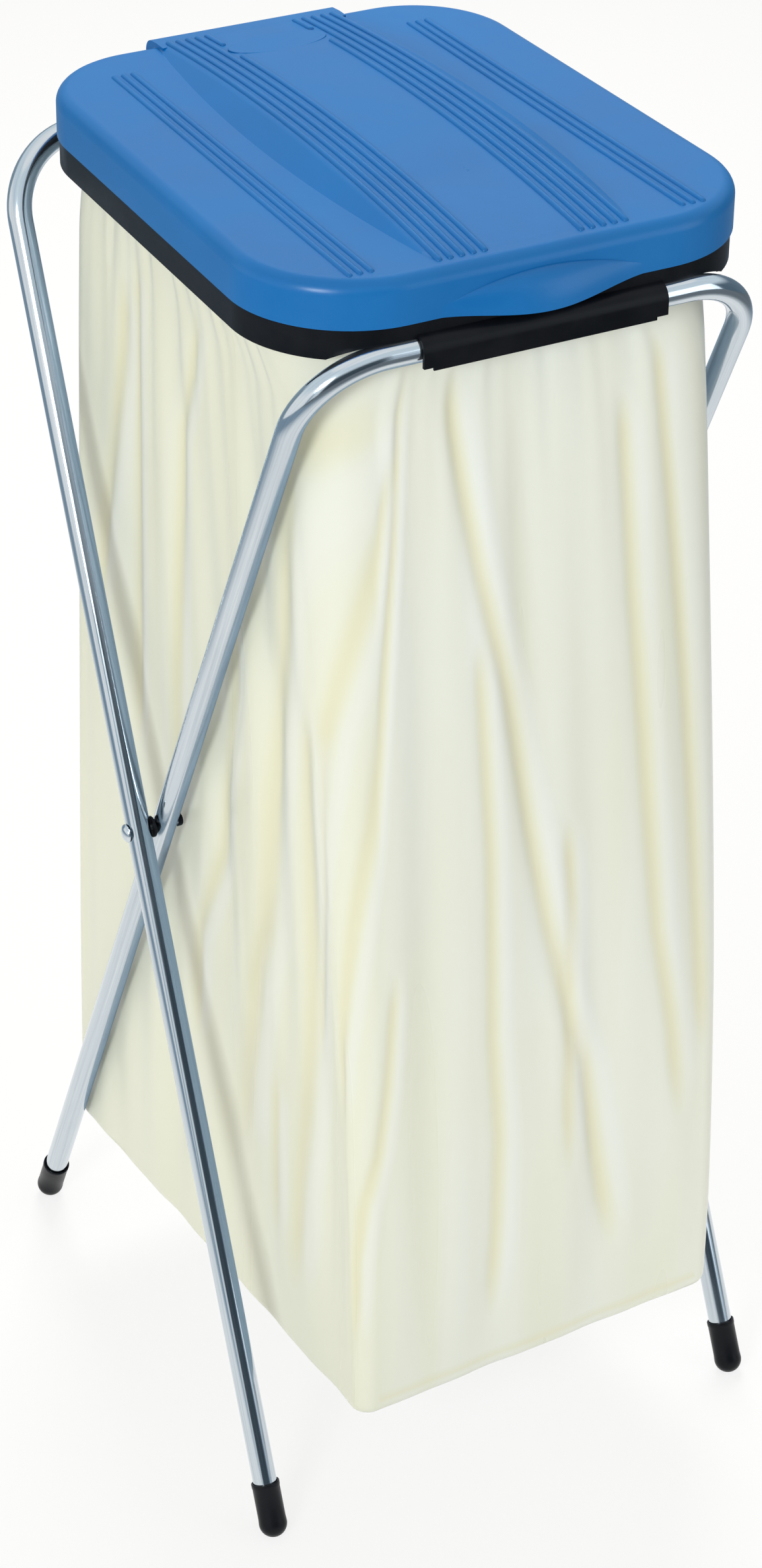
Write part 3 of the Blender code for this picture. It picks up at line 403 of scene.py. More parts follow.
def merge_and_turn_out(piece):
    """Closes the seams of a piece and points its faces outwards."""
    start_edit(piece)
    bpy.ops.mesh.select_all(action="SELECT")
    bpy.ops.mesh.remove_doubles(threshold=SEAM)
    bpy.ops.mesh.normals_make_consistent(inside=False)
    stop_edit()


def modify(piece, kind, **settings):
    """Adds a modifier with its settings and applies it."""
    step = piece.modifiers.new(kind.lower(), kind)
    for word, value in settings.items():
        setattr(step, word, value)
    activate(piece)
    bpy.ops.object.modifier_apply(modifier=step.name)


def solid_volume(piece):
    shape = bmesh.new()
    shape.from_mesh(piece.data)
    volume = shape.calc_volume(signed=True)
    shape.free()
    return volume


def settle_order(piece):
    """Puts the corners and faces in order of place, so that each run gives the same piece."""
    mesh = piece.data
    places = [tuple(round(part, 7) for part in vertex.co) for vertex in mesh.vertices]
    keys = [(tuple(round(part, 5) for part in place), place) for place in places]
    order = sorted(range(len(places)), key=lambda at: keys[at])
    rank = {old: new for new, old in enumerate(order)}
    faces = []
    for polygon in mesh.polygons:
        loop = [rank[corner] for corner in polygon.vertices]
        first = loop.index(min(loop))
        faces.append(tuple(loop[first:] + loop[:first]))
    settled = bpy.data.meshes.new(piece.name)
    settled.from_pydata([places[old] for old in order], [], sorted(faces))
    piece.data = settled
    bpy.data.meshes.remove(mesh)


def combine(piece, tool, operation):
    """Adds a solid to another, or cuts it away, and uses it up. A failed cut is redone a hair aside."""
    whole = piece.data.copy()
    before = solid_volume(piece)
    least = 0.02 * before
    for aside in NUDGES:
        tool.data.transform(Matrix.Translation((aside, aside, aside)))
        modify(piece, "BOOLEAN", operation=operation, solver="EXACT", object=tool)
        after = solid_volume(piece)
        if after > before if operation == "UNION" else least < after < before:
            break
        piece.data = whole.copy()
    settle_order(piece)
    bpy.data.objects.remove(tool, do_unlink=True)
    return piece


def soften_edges(piece, width=EDGE_BREAK, segments=2, angle=28):
    """Breaks the sharp edges, as a mould does, and shades the flats flat."""
    limit = {"limit_method": "ANGLE", "angle_limit": math.radians(angle)}
    modify(piece, "BEVEL", width=width, segments=segments, miter_outer="MITER_ARC", **limit)
    shade(piece, 50)
    modify(piece, "WEIGHTED_NORMAL", keep_sharp=True)
    return piece


def shade(piece, angle=40):
    activate(piece)
    bpy.ops.object.shade_smooth_by_angle(angle=math.radians(angle))


def join(name, pieces):
    """Makes one piece of several."""
    clear_selection()
    for piece in pieces:
        piece.select_set(True)
    bpy.context.view_layer.objects.active = pieces[0]
    if len(pieces) > 1:
        bpy.ops.object.join()
    return name_piece(pieces[0], name)


def wrapped_grid(name, loops, closed_section=False, marks=()):
    """A grid wrapped round a row of closed loops, its seam merged. Marks become point attributes."""
    loops = list(loops)
    if closed_section:
        loops.append(loops[0])
    table = np.array([np.array(loop, float) for loop in loops])
    rows, around = table.shape[0] - 1, table.shape[1]
    piece = new_piece(
        name, bpy.ops.mesh.primitive_grid_add, x_subdivisions=around, y_subdivisions=rows, size=1
    )
    flat = np.empty(len(piece.data.vertices) * 3)
    piece.data.vertices.foreach_get("co", flat)
    flat = flat.reshape(-1, 3) + 0.5
    step_round = np.rint(flat[:, 0] * around).astype(int) % around
    step_along = np.rint(flat[:, 1] * rows).astype(int)
    piece.data.vertices.foreach_set("co", table[step_along, step_round].ravel())
    for word, values in marks:
        layer = piece.data.attributes.new(word, "FLOAT", "POINT")
        values = np.clip(values[step_along, step_round], 0, 1)
        layer.data.foreach_set("value", values.astype(np.float32))
    piece.data.update()
    merge_and_turn_out(piece)
    return piece


def close_ends(piece):
    """Fills the open loops of a piece, each with one face."""
    start_edit(piece)
    bpy.context.tool_settings.mesh_select_mode = (False, True, False)
    bpy.ops.mesh.select_all(action="DESELECT")
    bpy.ops.mesh.select_non_manifold()
    shape = bmesh.from_edit_mesh(piece.data)
    rim = [edge for edge in shape.edges if edge.select]
    bmesh.ops.edgeloop_fill(shape, edges=rim)
    bmesh.ops.recalc_face_normals(shape, faces=shape.faces)
    bmesh.update_edit_mesh(piece.data)
    stop_edit()
    return piece


def pressed_block(name, outline, start, end, along="X"):
    """A disc pressed to an outline and pulled out to a block, along X or along Z."""
    add = bpy.ops.mesh.primitive_circle_add
    piece = new_piece(name, add, vertices=len(outline), radius=1, fill_type="NGON")
    for vertex, (a, b) in zip(piece.data.vertices, outline):
        vertex.co = (start, a, b) if along == "X" else (a, b, start)
    run = (end - start, 0, 0) if along == "X" else (0, 0, end - start)
    start_edit(piece)
    bpy.ops.mesh.select_all(action="SELECT")
    bpy.ops.mesh.extrude_region_move(TRANSFORM_OT_translate={"value": run})
    bpy.ops.mesh.select_all(action="SELECT")
    bpy.ops.mesh.normals_make_consistent(inside=False)
    stop_edit()
    return piece


def circle(radius, count):
    """Points round a circle, as (x, y)."""
    turns = [2 * math.pi * k / count for k in range(count)]
    return [(radius * math.cos(turn), radius * math.sin(turn)) for turn in turns]


def turned(name, profile, matrix):
    """A profile of (radius, height) turned about its own axis."""
    loops = []
    for radius, height in profile:
        loops.append([matrix @ Vector((x, y, height)) for x, y in circle(radius, TURNED_STEPS)])
    return wrapped_grid(name, loops)


def arc(centre, radius, start, end, steps):
    """Points of an arc in a plane, angles in degrees from the first axis."""
    points = []
    for k in range(steps + 1):
        angle = math.radians(start + (end - start) * k / steps)
        points.append((centre[0] + radius * math.cos(angle), centre[1] + radius * math.sin(angle)))
    return points


def rounded_plan(front, rear, half_front, half_rear, front_radius, rear_radius, counts):
    """A rounded trapezium, from the middle of its front edge towards +X and round."""
    half_steps, corner_steps, side_steps, rear_corner_steps, rear_steps = counts
    corners = [(half_front, front), (half_rear, rear), (-half_rear, rear), (-half_front, front)]
    radii = [front_radius, rear_radius, rear_radius, front_radius]
    steps = [corner_steps, rear_corner_steps, rear_corner_steps, corner_steps]
    bends = []
    for i, corner in enumerate(corners):
        here = Vector(corner)
        back = (Vector(corners[i - 1]) - here).normalized()
        onward = (Vector(corners[(i + 1) % 4]) - here).normalized()
        half = back.angle(onward) / 2
        centre = here + (back + onward).normalized() * (radii[i] / math.sin(half))
        spoke = here + back * (radii[i] / math.tan(half)) - centre
        sweep = math.pi - 2 * half
        bend = []
        for k in range(steps[i] + 1):
            turn = sweep * k / steps[i]
            bend.append((
                centre.x + spoke.x * math.cos(turn) - spoke.y * math.sin(turn),
                centre.y + spoke.x * math.sin(turn) + spoke.y * math.cos(turn),
            ))
        bends.append(bend)
    straights = [side_steps, rear_steps, side_steps]
    points = spaced((0.0, front), bends[0][0], half_steps)
    for i, bend in enumerate(bends):
        points += bend[:-1]
        if i < 3:
            points += spaced(bend[-1], bends[i + 1][0], straights[i])
    points += spaced(bends[3][-1], (0.0, front), half_steps)
    return points


def spaced(start, end, steps):
    """Evenly spaced points from a start towards an end, without the end."""
    return [
        (start[0] + (end[0] - start[0]) * k / steps, start[1] + (end[1] - start[1]) * k / steps)
        for k in range(steps)
    ]


def lid_plan(inset, counts=PLAN_STEPS):
    """The lid's plan, moved inwards."""
    slope = (PLAN_FRONT_HALF_WIDTH - PLAN_REAR_HALF_WIDTH) / (PLAN_REAR - PLAN_FRONT)
    spread = math.sqrt(1 + slope * slope)
    front, rear = PLAN_FRONT + inset, PLAN_REAR - inset
    half_front = PLAN_FRONT_HALF_WIDTH - slope * (front - PLAN_FRONT) - inset * spread
    half_rear = PLAN_FRONT_HALF_WIDTH - slope * (rear - PLAN_FRONT) - inset * spread
    radii = (PLAN_FRONT_RADIUS - inset, PLAN_REAR_RADIUS - inset)
    return rounded_plan(front, rear, half_front, half_rear, *radii, counts)


def plan_loops(section):
    """The lid's plan at each (inset, height) of a section."""
    return [[(x, y, height) for x, y in lid_plan(inset)] for inset, height in section]


# Tube frames

def tube_line(half_width, bar_y, foot_y, foot_lift):
    """Foot, bend start, bend centre, bend end, leg direction and bend angle of a frame's left half."""
    corner = Vector((-half_width, bar_y, BAR_HEIGHT))
    foot = Vector((-half_width - LEG_SPLAY, foot_y, FOOT_HEIGHT))
    down = (foot - corner).normalized()
    inward = Vector((1, 0, 0))
    half = down.angle(inward) / 2
    centre = corner + (down + inward).normalized() * (BEND_RADIUS / math.sin(half))
    bend_start = corner + down * (BEND_RADIUS / math.tan(half))
    bend_end = corner + inward * (BEND_RADIUS / math.tan(half))
    return foot - down * foot_lift, bend_start, centre, bend_end, -down, math.pi - 2 * half


def make_tube(name, half_width, bar_y, foot_y):
    """One frame: a disc pulled up the leg, spun round the bend, along the bar and down again."""
    foot, bend_start, centre, bend_end, up_leg, sweep = tube_line(half_width, bar_y, foot_y, TUBE_END_LIFT)
    tube = new_piece(
        name,
        bpy.ops.mesh.primitive_circle_add,
        vertices=TUBE_STEPS,
        radius=TUBE_RADIUS,
        fill_type="NGON",
        location=foot,
        rotation=up_leg.to_track_quat("Z", "X").to_euler(),
    )
    bpy.ops.object.transform_apply(location=True, rotation=True, scale=True)
    across = Vector((1, 0, 0))
    mirrored = Matrix.Diagonal((-1, 1, 1))
    along_bar = Vector((-2 * bend_end.x, 0, 0))
    right_axis = across.cross(-(mirrored @ up_leg)).normalized()
    bends = (
        (bend_start - foot, centre, up_leg.cross(across).normalized()),
        (along_bar, mirrored @ centre, right_axis),
    )
    start_edit(tube)
    bpy.ops.mesh.select_all(action="SELECT")
    for run, middle, axis in bends:
        bpy.ops.mesh.extrude_region_move(TRANSFORM_OT_translate={"value": run})
        bpy.ops.mesh.spin(steps=BEND_STEPS, angle=-sweep, center=middle, axis=axis)
    last_run = mirrored @ (foot - bend_start)
    bpy.ops.mesh.extrude_region_move(TRANSFORM_OT_translate={"value": last_run})
    stop_edit()
    merge_and_turn_out(tube)
    shade(tube)
    note_grain(tube, half_width, bar_y, foot_y)
    return tube


def bend_line(half_width, bar_y, foot_y):
    """The middle of a frame's left bend, the spokes from it to the tube's line, its axis, and the foot."""
    foot, bend_start, centre, _, up_leg, sweep = tube_line(half_width, bar_y, foot_y, 0.0)
    axis = up_leg.cross(Vector((1, 0, 0))).normalized()
    spokes = []
    for k in range(BEND_STEPS + 1):
        spokes.append(Matrix.Rotation(sweep * k / BEND_STEPS, 3, axis) @ (bend_start - centre))
    return centre, spokes, axis, foot


def note_grain(tube, half_width, bar_y, foot_y):
    """Keeps, for each point, its place across and along the tube, which the plating's streaks follow."""
    centre, spokes, axis, foot = bend_line(half_width, bar_y, foot_y)
    left = [foot] + [centre + spoke for spoke in spokes]
    line = np.array(left + [Vector((-p.x, p.y, p.z)) for p in reversed(left)])
    runs = np.diff(line, axis=0)
    lengths = np.linalg.norm(runs, axis=1)
    before = np.concatenate([[0.0], np.cumsum(lengths)[:-1]])
    across_axis = np.array(axis)
    count = len(tube.data.vertices)
    points = np.empty(count * 3)
    tube.data.vertices.foreach_get("co", points)
    points = points.reshape(-1, 3)
    best = np.full(count, np.inf)
    grain = np.zeros((count, 3))
    for start, run, length, behind in zip(line, runs, lengths, before):
        share = np.clip((points - start) @ run / length ** 2, 0, 1)
        offset = points - start - share[:, None] * run
        distance = np.linalg.norm(offset, axis=1)
        closer = distance < best - 1e-9
        best[closer] = distance[closer]
        outward_axis = np.cross(run / length, across_axis)
        places = np.stack([offset @ across_axis, offset @ outward_axis, behind + share * length], axis=1)
        grain[closer] = places[closer]
    layer = tube.data.attributes.new("tube_grain", "FLOAT_VECTOR", "POINT")
    layer.data.foreach_set("vector", grain.ravel())


# Feet, rivets and spacers

def leg_matrix(side, half_width, bar_y, foot_y):
    """Local Z runs up the leg from the centre of the foot's round end."""
    foot = Vector((side * (half_width + LEG_SPLAY), foot_y, FOOT_HEIGHT))
    top = Vector((side * half_width, bar_y, BAR_HEIGHT))
    turn = (top - foot).to_track_quat("Z", "Y").to_matrix().to_4x4()
    return Matrix.Translation(foot) @ turn


def make_foot_cap(name, side, half_width, bar_y, foot_y):
    """A moulded cap: round end with a worn flat, a faint taper and a rolled rim at its mouth."""
    rim, hair, step = 0.0004, 0.0001, 0.00025
    roll, belly = 0.0030, 0.004
    profile = [(0.0, CAP_FLOOR), (CAP_BORE_RADIUS, CAP_FLOOR), (CAP_BORE_RADIUS, CAP_DEPTH - rim)]
    profile += [(CAP_BORE_RADIUS + hair, CAP_DEPTH - hair), (CAP_BORE_RADIUS + rim, CAP_DEPTH)]
    profile += arc((CAP_RADIUS - rim, CAP_DEPTH - rim), rim, 90, 0, 4)
    profile += [(CAP_RADIUS, CAP_DEPTH - roll), (CAP_RADIUS - step, CAP_DEPTH - roll - rim)]
    profile += [(CAP_RADIUS - step, belly), (CAP_RADIUS - hair, belly / 2)]
    profile += arc((0, 0), CAP_RADIUS, 0, -90, 16)[:-1]
    profile.append((0.0, -CAP_RADIUS))
    cap = turned(name, profile, leg_matrix(side, half_width, bar_y, foot_y))
    for vertex in cap.data.vertices:
        vertex.co.z = max(vertex.co.z, 0.0)
    shade(cap)
    return cap


def rivet_matrix(side):
    return Matrix.Translation((0, 0, PIVOT_HEIGHT)) @ Matrix.Rotation(side * math.pi / 2, 4, "Y")


def make_rivet(name, side):
    """A domed head outside the outer tube, a shank, and a set tail inside the inner tube."""
    head_x = OUTER_LEG_X + TUBE_RADIUS + GAP
    tail_x = INNER_LEG_X - TUBE_RADIUS - GAP
    edge = 0.0003
    profile = [(0.0, head_x + RIVET_HEAD_HEIGHT)]
    for share, rise in arc((0, 0), 1.0, 80, 10, 7):
        radius = RIVET_HEAD_RADIUS * share / math.cos(math.radians(10))
        profile.append((radius, head_x + RIVET_HEAD_HEIGHT * rise))
    profile += [(RIVET_HEAD_RADIUS, head_x + edge), (RIVET_HEAD_RADIUS - edge, head_x)]
    profile += [(RIVET_SHANK_RADIUS, head_x), (RIVET_SHANK_RADIUS, tail_x), (RIVET_TAIL_RADIUS, tail_x)]
    half_tail = RIVET_TAIL_HEIGHT / 2
    for share, rise in arc((0, 0), 1.0, 0, 72, 4):
        profile.append((RIVET_TAIL_RADIUS * share, tail_x - half_tail * (1 + rise)))
    profile.append((0.0, tail_x - RIVET_TAIL_HEIGHT))
    rivet = turned(name, profile, rivet_matrix(side))
    shade(rivet)
    return rivet


def make_spacer(name, side):
    """A plastic washer between the tubes, its edges broken, and a push-on cap over the rivet's tail."""
    inner_x = INNER_LEG_X + TUBE_RADIUS + GAP
    outer_x = OUTER_LEG_X - TUBE_RADIUS - GAP
    bore = RIVET_SHANK_RADIUS + GAP
    edge = 0.0003
    washer = [(bore, inner_x), (SPACER_RADIUS - edge, inner_x), (SPACER_RADIUS, inner_x + edge)]
    washer += [(SPACER_RADIUS, outer_x - edge), (SPACER_RADIUS - edge, outer_x), (bore, outer_x)]
    washer.append(washer[0])
    start_x = INNER_LEG_X - TUBE_RADIUS - GAP - 0.0002
    end_x = start_x - RIVET_TAIL_HEIGHT
    inside, outside = RIVET_TAIL_RADIUS + 0.0001, RIVET_TAIL_RADIUS + TAIL_CAP_WALL
    cap = [(inside, start_x), (outside, start_x), (outside, end_x)]
    cap += [(outside - TAIL_CAP_WALL / 2, end_x - TAIL_CAP_WALL), (0.0, end_x - TAIL_CAP_WALL)]
    cap += [(0.0, end_x), (inside, end_x), cap[0]]
    matrix = rivet_matrix(side)
    spacer = join(name, [turned(name, washer, matrix), turned("tail_cap", cap, matrix)])
    shade(spacer)
    return spacer


# Ring, clips and clamp

def bar_outline(half_width, bar_y, foot_y, reach):
    """The outline, seen from the front, of the room that a bar and its bends need."""
    centre, spokes, _, _ = bend_line(half_width, bar_y, foot_y)
    over = []
    for spoke in spokes:
        point = centre + spoke * (1 + reach / BEND_RADIUS)
        if point.z > BELOW_BAR:
            over.append((point.x, point.z))
    over += [(-x, z) for x, z in reversed(over)]
    under = BELOW_BAR - TUBE_RADIUS * 2
    return over + [(over[-1][0], under), (over[0][0], under)]


def bar_room(half_width, bar_y, foot_y, profile):
    """What a bar takes out of the ring: its side profile, ended by the shape of its bends."""
    room = pressed_block("bar_room", profile, -half_width * 1.2, half_width * 1.2)
    outline = bar_outline(half_width, bar_y, foot_y, TUBE_RADIUS + NOTCH_GAP)
    ends = pressed_block("bends", outline, bar_y - 0.04, bar_y + 0.04, along="Z")
    for vertex in ends.data.vertices:
        x, z, y = vertex.co
        vertex.co = (x, y, z)
    merge_and_turn_out(ends)
    return combine(room, ends, "INTERSECT")


def front_bar_room():
    back = FRONT_BAR_Y + NOTCH_BACK
    profile = [(back, BELOW_BAR), (back, BAR_HEIGHT + SADDLE_RADIUS)]
    profile += arc((FRONT_BAR_Y, BAR_HEIGHT), SADDLE_RADIUS, 90, 180, 12)
    profile.append((FRONT_BAR_Y - SADDLE_RADIUS, BELOW_BAR))
    return bar_room(*FRONT_FRAME, profile)


def rear_bar_room():
    profile = arc((REAR_BAR_Y, BAR_HEIGHT), HINGE_BORE_RADIUS, 0, 180, 24)
    profile += [(REAR_BAR_Y + side * HINGE_BORE_RADIUS, BELOW_BAR) for side in (-1, 1)]
    return bar_room(*REAR_FRAME, profile)


def make_collars(name, opening, start, length):
    """A pair of plastic Cs that snap round the rear bar, open below."""
    low, high = -90 + opening / 2, 270 - opening / 2
    middle = (REAR_BAR_Y, BAR_HEIGHT)
    outline = arc(middle, HINGE_CLIP_RADIUS, low, high, 28) + arc(middle, HINGE_BORE_RADIUS, high, low, 28)
    collars = []
    for side in (-1, 1):
        ends = sorted((side * start, side * (start + length)))
        collars.append(soften_edges(pressed_block(name, outline, *ends)))
    return collars


def front_clip(name, drop, half_length, wall):
    """The long clip over the front bar, before the bar's room is cut."""
    outer = SADDLE_RADIUS + wall
    back = FRONT_BAR_Y + TUBE_RADIUS
    outline = [(back, BAR_HEIGHT - drop), (back, BAR_HEIGHT + outer)]
    outline += arc((FRONT_BAR_Y, BAR_HEIGHT), outer, 90, 180, 12)
    outline.append((FRONT_BAR_Y - outer, BAR_HEIGHT - drop))
    return pressed_block(name, outline, -half_length, half_length)


def make_ring():
    """The ring's wall, shoulder and rim in one sweep, with its clips on both bars."""
    inner_inset, under = RING_INSET + RING_WALL, RING_SHOULDER - RING_WALL
    section = [
        (RING_INSET, RING_BOTTOM),
        (RING_INSET, RING_SHOULDER),
        (RIM_INSET, RING_SHOULDER),
        (RIM_INSET, RIM_TOP),
        (RIM_INNER_INSET, RIM_TOP),
        (RIM_INNER_INSET, under),
        (inner_inset, under),
        (inner_inset, RING_BOTTOM),
    ]
    ring = wrapped_grid("ring_dressed", plan_loops(section), closed_section=True)
    combine(ring, front_clip("clip", *CLIP), "UNION")
    combine(ring, front_clip("clip_lip", *CLIP_LIP), "UNION")
    combine(ring, front_bar_room(), "DIFFERENCE")
    combine(ring, rear_bar_room(), "DIFFERENCE")
    relief = arc((REAR_BAR_Y, BAR_HEIGHT), HINGE_CLIP_RADIUS + RUNNING_GAP, 0, 345, 46)
    half = HOUSING_HALF_WIDTH + RUNNING_GAP * 2
    combine(ring, pressed_block("relief", relief, -half, half), "DIFFERENCE")
    soften_edges(ring)
    start = HOUSING_HALF_WIDTH + RING_COLLAR_START
    collars = make_collars("ring_collar", 120, start, RING_COLLAR_LENGTH)
    return join("ring_dressed", [ring] + collars)


def make_clamp():
    """The channel ring pressed over the bag's folded mouth."""
    cuff_side = CUFF_INSET - BAG_FILM - GAP
    film_side = FILM_INSET + BAG_FILM + GAP
    under = CLAMP_TOP - CLAMP_WALL
    section = [
        (cuff_side - CLAMP_WALL, CLAMP_BOTTOM),
        (cuff_side - CLAMP_WALL, CLAMP_TOP),
        (film_side + CLAMP_WALL, CLAMP_TOP),
        (film_side + CLAMP_WALL, CLAMP_BOTTOM),
        (film_side, CLAMP_BOTTOM),
        (film_side, under),
        (cuff_side, under),
        (cuff_side, CLAMP_BOTTOM),
    ]
    clamp = wrapped_grid("clamp_dressed", plan_loops(section), closed_section=True)
    return soften_edges(clamp)


# Lid

def arch(y):
    """Height of the middle panel over the lid's flat top."""
    reach = PANEL_CROWN_Y - PANEL_FRONT
    return PANEL_CROWN * (1 - ((y - PANEL_CROWN_Y) / reach) ** 2)


def panel_half_width(y):
    share = (y - PANEL_FRONT) / (PANEL_REAR - PANEL_FRONT)
    return PANEL_FRONT_HALF_WIDTH + (PANEL_REAR_HALF_WIDTH - PANEL_FRONT_HALF_WIDTH) * share


def lid_block(name, inset, bottom, top, radius, edge_steps):
    """A solid round the lid's plan with a rounded upper edge."""
    section = [(inset, bottom)]
    for k in range(edge_steps + 1):
        angle = math.pi / 2 * k / edge_steps
        rise = top - radius + radius * math.sin(angle)
        section.append((inset + radius * (1 - math.cos(angle)), rise))
    return close_ends(wrapped_grid(name, plan_loops(section)))


def make_panel(name, lower, rear, soft):
    """The arched panel: a box cut into slices, arched, its sides spread towards the lid."""
    panel = new_piece(name, bpy.ops.mesh.primitive_cube_add, size=1)
    start_edit(panel)
    pick_edges(panel, lambda a, b: abs(a.y - b.y) > 0.5)
    bpy.ops.mesh.subdivide(number_cuts=PANEL_CUTS)
    stop_edit()
    base = LID_TOP - PANEL_SINK - lower
    for vertex in panel.data.vertices:
        y = PANEL_FRONT + (vertex.co.y + 0.5) * (rear - PANEL_FRONT)
        top = LID_TOP + arch(y) - lower - PANEL_SETTLE
        height = top if vertex.co.z > 0 else base
        half = panel_half_width(y) + PANEL_SIDE_RUN * (top - height) - lower
        vertex.co = (math.copysign(half, vertex.co.x), y, height)
    if soft > 0:
        start_edit(panel)
        pick_edges(panel, lambda a, b: is_panel_rim(a, b, lower))
        bpy.ops.mesh.bevel(offset=soft, segments=5, affect="EDGES")
        stop_edit()
    merge_and_turn_out(panel)
    return panel


def is_panel_rim(a, b, lower):
    """True for the long upper edges of the panel."""
    on_top = all(abs(p.z - (LID_TOP + arch(p.y) - lower - PANEL_SETTLE)) < 1e-5 for p in (a, b))
    return on_top and a.x * b.x > 0 and abs(a.y - b.y) > 1e-4


def housing_side(wall):
    """Side view of the hinge housing; wall moves it inwards."""
    outer_y = REAR_BAR_Y + HINGE_CLIP_RADIUS + GAP - wall
    top_y = outer_y - HOUSING_ROUND + wall
    radius = HOUSING_ROUND - wall
    over = 0.0001 if wall == 0 else -0.0004

    def top(y):
        return LID_TOP + arch(y) - wall

    outline = [(HOUSING_START_Y, top(HOUSING_START_Y) - HOUSING_START_SINK)]
    outline.append((HOUSING_CROSS_Y, top(HOUSING_CROSS_Y) + over))
    outline += arc((top_y, top(top_y) + over - radius), radius, 90, 0, 12)
    return outline, outer_y


def make_housing():
    outline, outer_y = housing_side(0.0)
    inner_y = outer_y - LID_WALL
    skirt_y = PLAN_REAR + GAP
    over_bar = BAR_HEIGHT + HINGE_CLIP_RADIUS + RUNNING_GAP
    outline += [(outer_y, BAR_HEIGHT), (inner_y, BAR_HEIGHT), (inner_y, over_bar)]
    low = SKIRT_BOTTOM + 0.0002
    outline += [(skirt_y, over_bar), (skirt_y, low), (HOUSING_START_Y, low)]
    return pressed_block("housing", outline, -HOUSING_HALF_WIDTH, HOUSING_HALF_WIDTH)


def make_housing_room():
    outline, outer_y = housing_side(LID_WALL)
    low = BAR_HEIGHT - TUBE_RADIUS
    outline += [(outer_y, low), (HOUSING_START_Y, low)]
    half = HOUSING_HALF_WIDTH - LID_WALL
    return pressed_block("housing_room", outline, -half, half)


def grip_section(along, wall, back_y):
    """Side view of the finger lip at a share of its half width from the middle."""
    swell = math.cos(math.pi / 2 * along) ** 2
    reach = GRIP_REACH * swell - GRIP_TUCK - wall
    low = SKIRT_BOTTOM + GRIP_LIFT - GRIP_DROP * swell - 2 * wall
    rise = GRIP_END_HEIGHT + GRIP_HEIGHT * swell ** GRIP_GAIN + wall
    steps = 12
    section = []
    for k in range(steps + 1):
        angle = math.pi / 2 * k / steps
        out = reach * math.cos(angle) ** GRIP_OUT
        section.append((PLAN_FRONT - out, low + rise * math.sin(angle) ** GRIP_UP))
    section += [(back_y, low + rise), (back_y, low)]
    return section


def make_grip(name, wall, back_y):
    """The finger lip: a swelling of the front skirt that runs out smoothly at both ends."""
    loops = []
    for k in range(GRIP_STATIONS + 1):
        along = 2 * k / GRIP_STATIONS - 1
        x = along * (GRIP_HALF_WIDTH - wall)
        loops.append([(x, y, z) for y, z in grip_section(along, wall, back_y)])
    return close_ends(wrapped_grid(name, loops))


def make_lid_shell():
    """The blue shell: skirt, flat top, arched panel, hinge housing and finger lip in one moulding."""
    lid = lid_block("lid_shell", 0.0, SKIRT_BOTTOM, LID_TOP, LID_EDGE_RADIUS, 8)
    room = lid_block("room", LID_WALL, RING_BOTTOM, LID_TOP - LID_WALL, LID_EDGE_RADIUS - LID_WALL, 6)
    combine(lid, make_panel("panel", 0.0, PANEL_REAR, PANEL_ROUND), "UNION")
    combine(lid, make_housing(), "UNION")
    combine(lid, make_grip("grip", 0.0, PLAN_FRONT + RING_INSET - GAP), "UNION")
    combine(lid, room, "DIFFERENCE")
    combine(lid, make_panel("panel_room", LID_WALL, PANEL_REAR - LID_WALL, 0.0), "DIFFERENCE")
    combine(lid, make_housing_room(), "DIFFERENCE")
    combine(lid, make_grip("grip_room", LID_WALL, PLAN_FRONT + LID_WALL * 2), "DIFFERENCE")
    return soften_edges(lid, LID_EDGE_BREAK, angle=24)


def make_bead(name, points, around=14):
    """A raised bead along a line, with a ball at each end."""
    line = [Vector(p) for p in points]
    start = (line[0] - line[1]).normalized()
    end = (line[-1] - line[-2]).normalized()
    ball = [(RIB_RADIUS * math.cos(turn), RIB_RADIUS * math.sin(turn)) for turn in (0.0, 0.5, 1.0)]
    stations = [(line[0] + start * out, size) for out, size in ball]
    stations += [(point, RIB_RADIUS) for point in line]
    stations += [(line[-1] + end * out, size) for out, size in reversed(ball)]
    loops = []
    for centre, size in stations:
        loops.append([centre + Vector((x, 0, z)) for x, z in circle(size, around)])
    return wrapped_grid(name, loops)


def rib_line(side, front, rear, low_y, high_y, whole, arched, steps):
    """A rib's line, which leans from its place at the front to its place at the rear of the whole span."""
    points = []
    for k in range(steps + 1):
        y = low_y + (high_y - low_y) * k / steps
        share = (y - whole[0]) / (whole[1] - whole[0])
        height = LID_TOP - RIB_SINK + (arch(y) if arched else 0.0)
        points.append((side * (front + (rear - front) * share), y, height))
    return points


def make_ribs():
    """Groups of three beads beside the panel and of five on it; the innermost pair stops at the oval."""
    before_oval = (MIDDLE_RIB_SPAN[0], OVAL_Y - OVAL_HALF_WIDTH)
    after_oval = (OVAL_Y + OVAL_HALF_WIDTH, MIDDLE_RIB_SPAN[1])
    beads = []
    for side in (-1, 1):
        for front, rear in SIDE_RIBS:
            line = rib_line(side, front, rear, *SIDE_RIB_SPAN, SIDE_RIB_SPAN, False, 8)
            beads.append(make_bead("bead", line))
        for front, rear in MIDDLE_RIBS:
            innermost = (front, rear) == MIDDLE_RIBS[-1]
            for low_y, high_y in ((before_oval, after_oval) if innermost else (MIDDLE_RIB_SPAN,)):
                line = rib_line(side, front, rear, low_y, high_y, MIDDLE_RIB_SPAN, True, 32)
                beads.append(make_bead("bead", line))
    ribs = join("lid_ribs", beads)
    shade(ribs, 60)
    return ribs


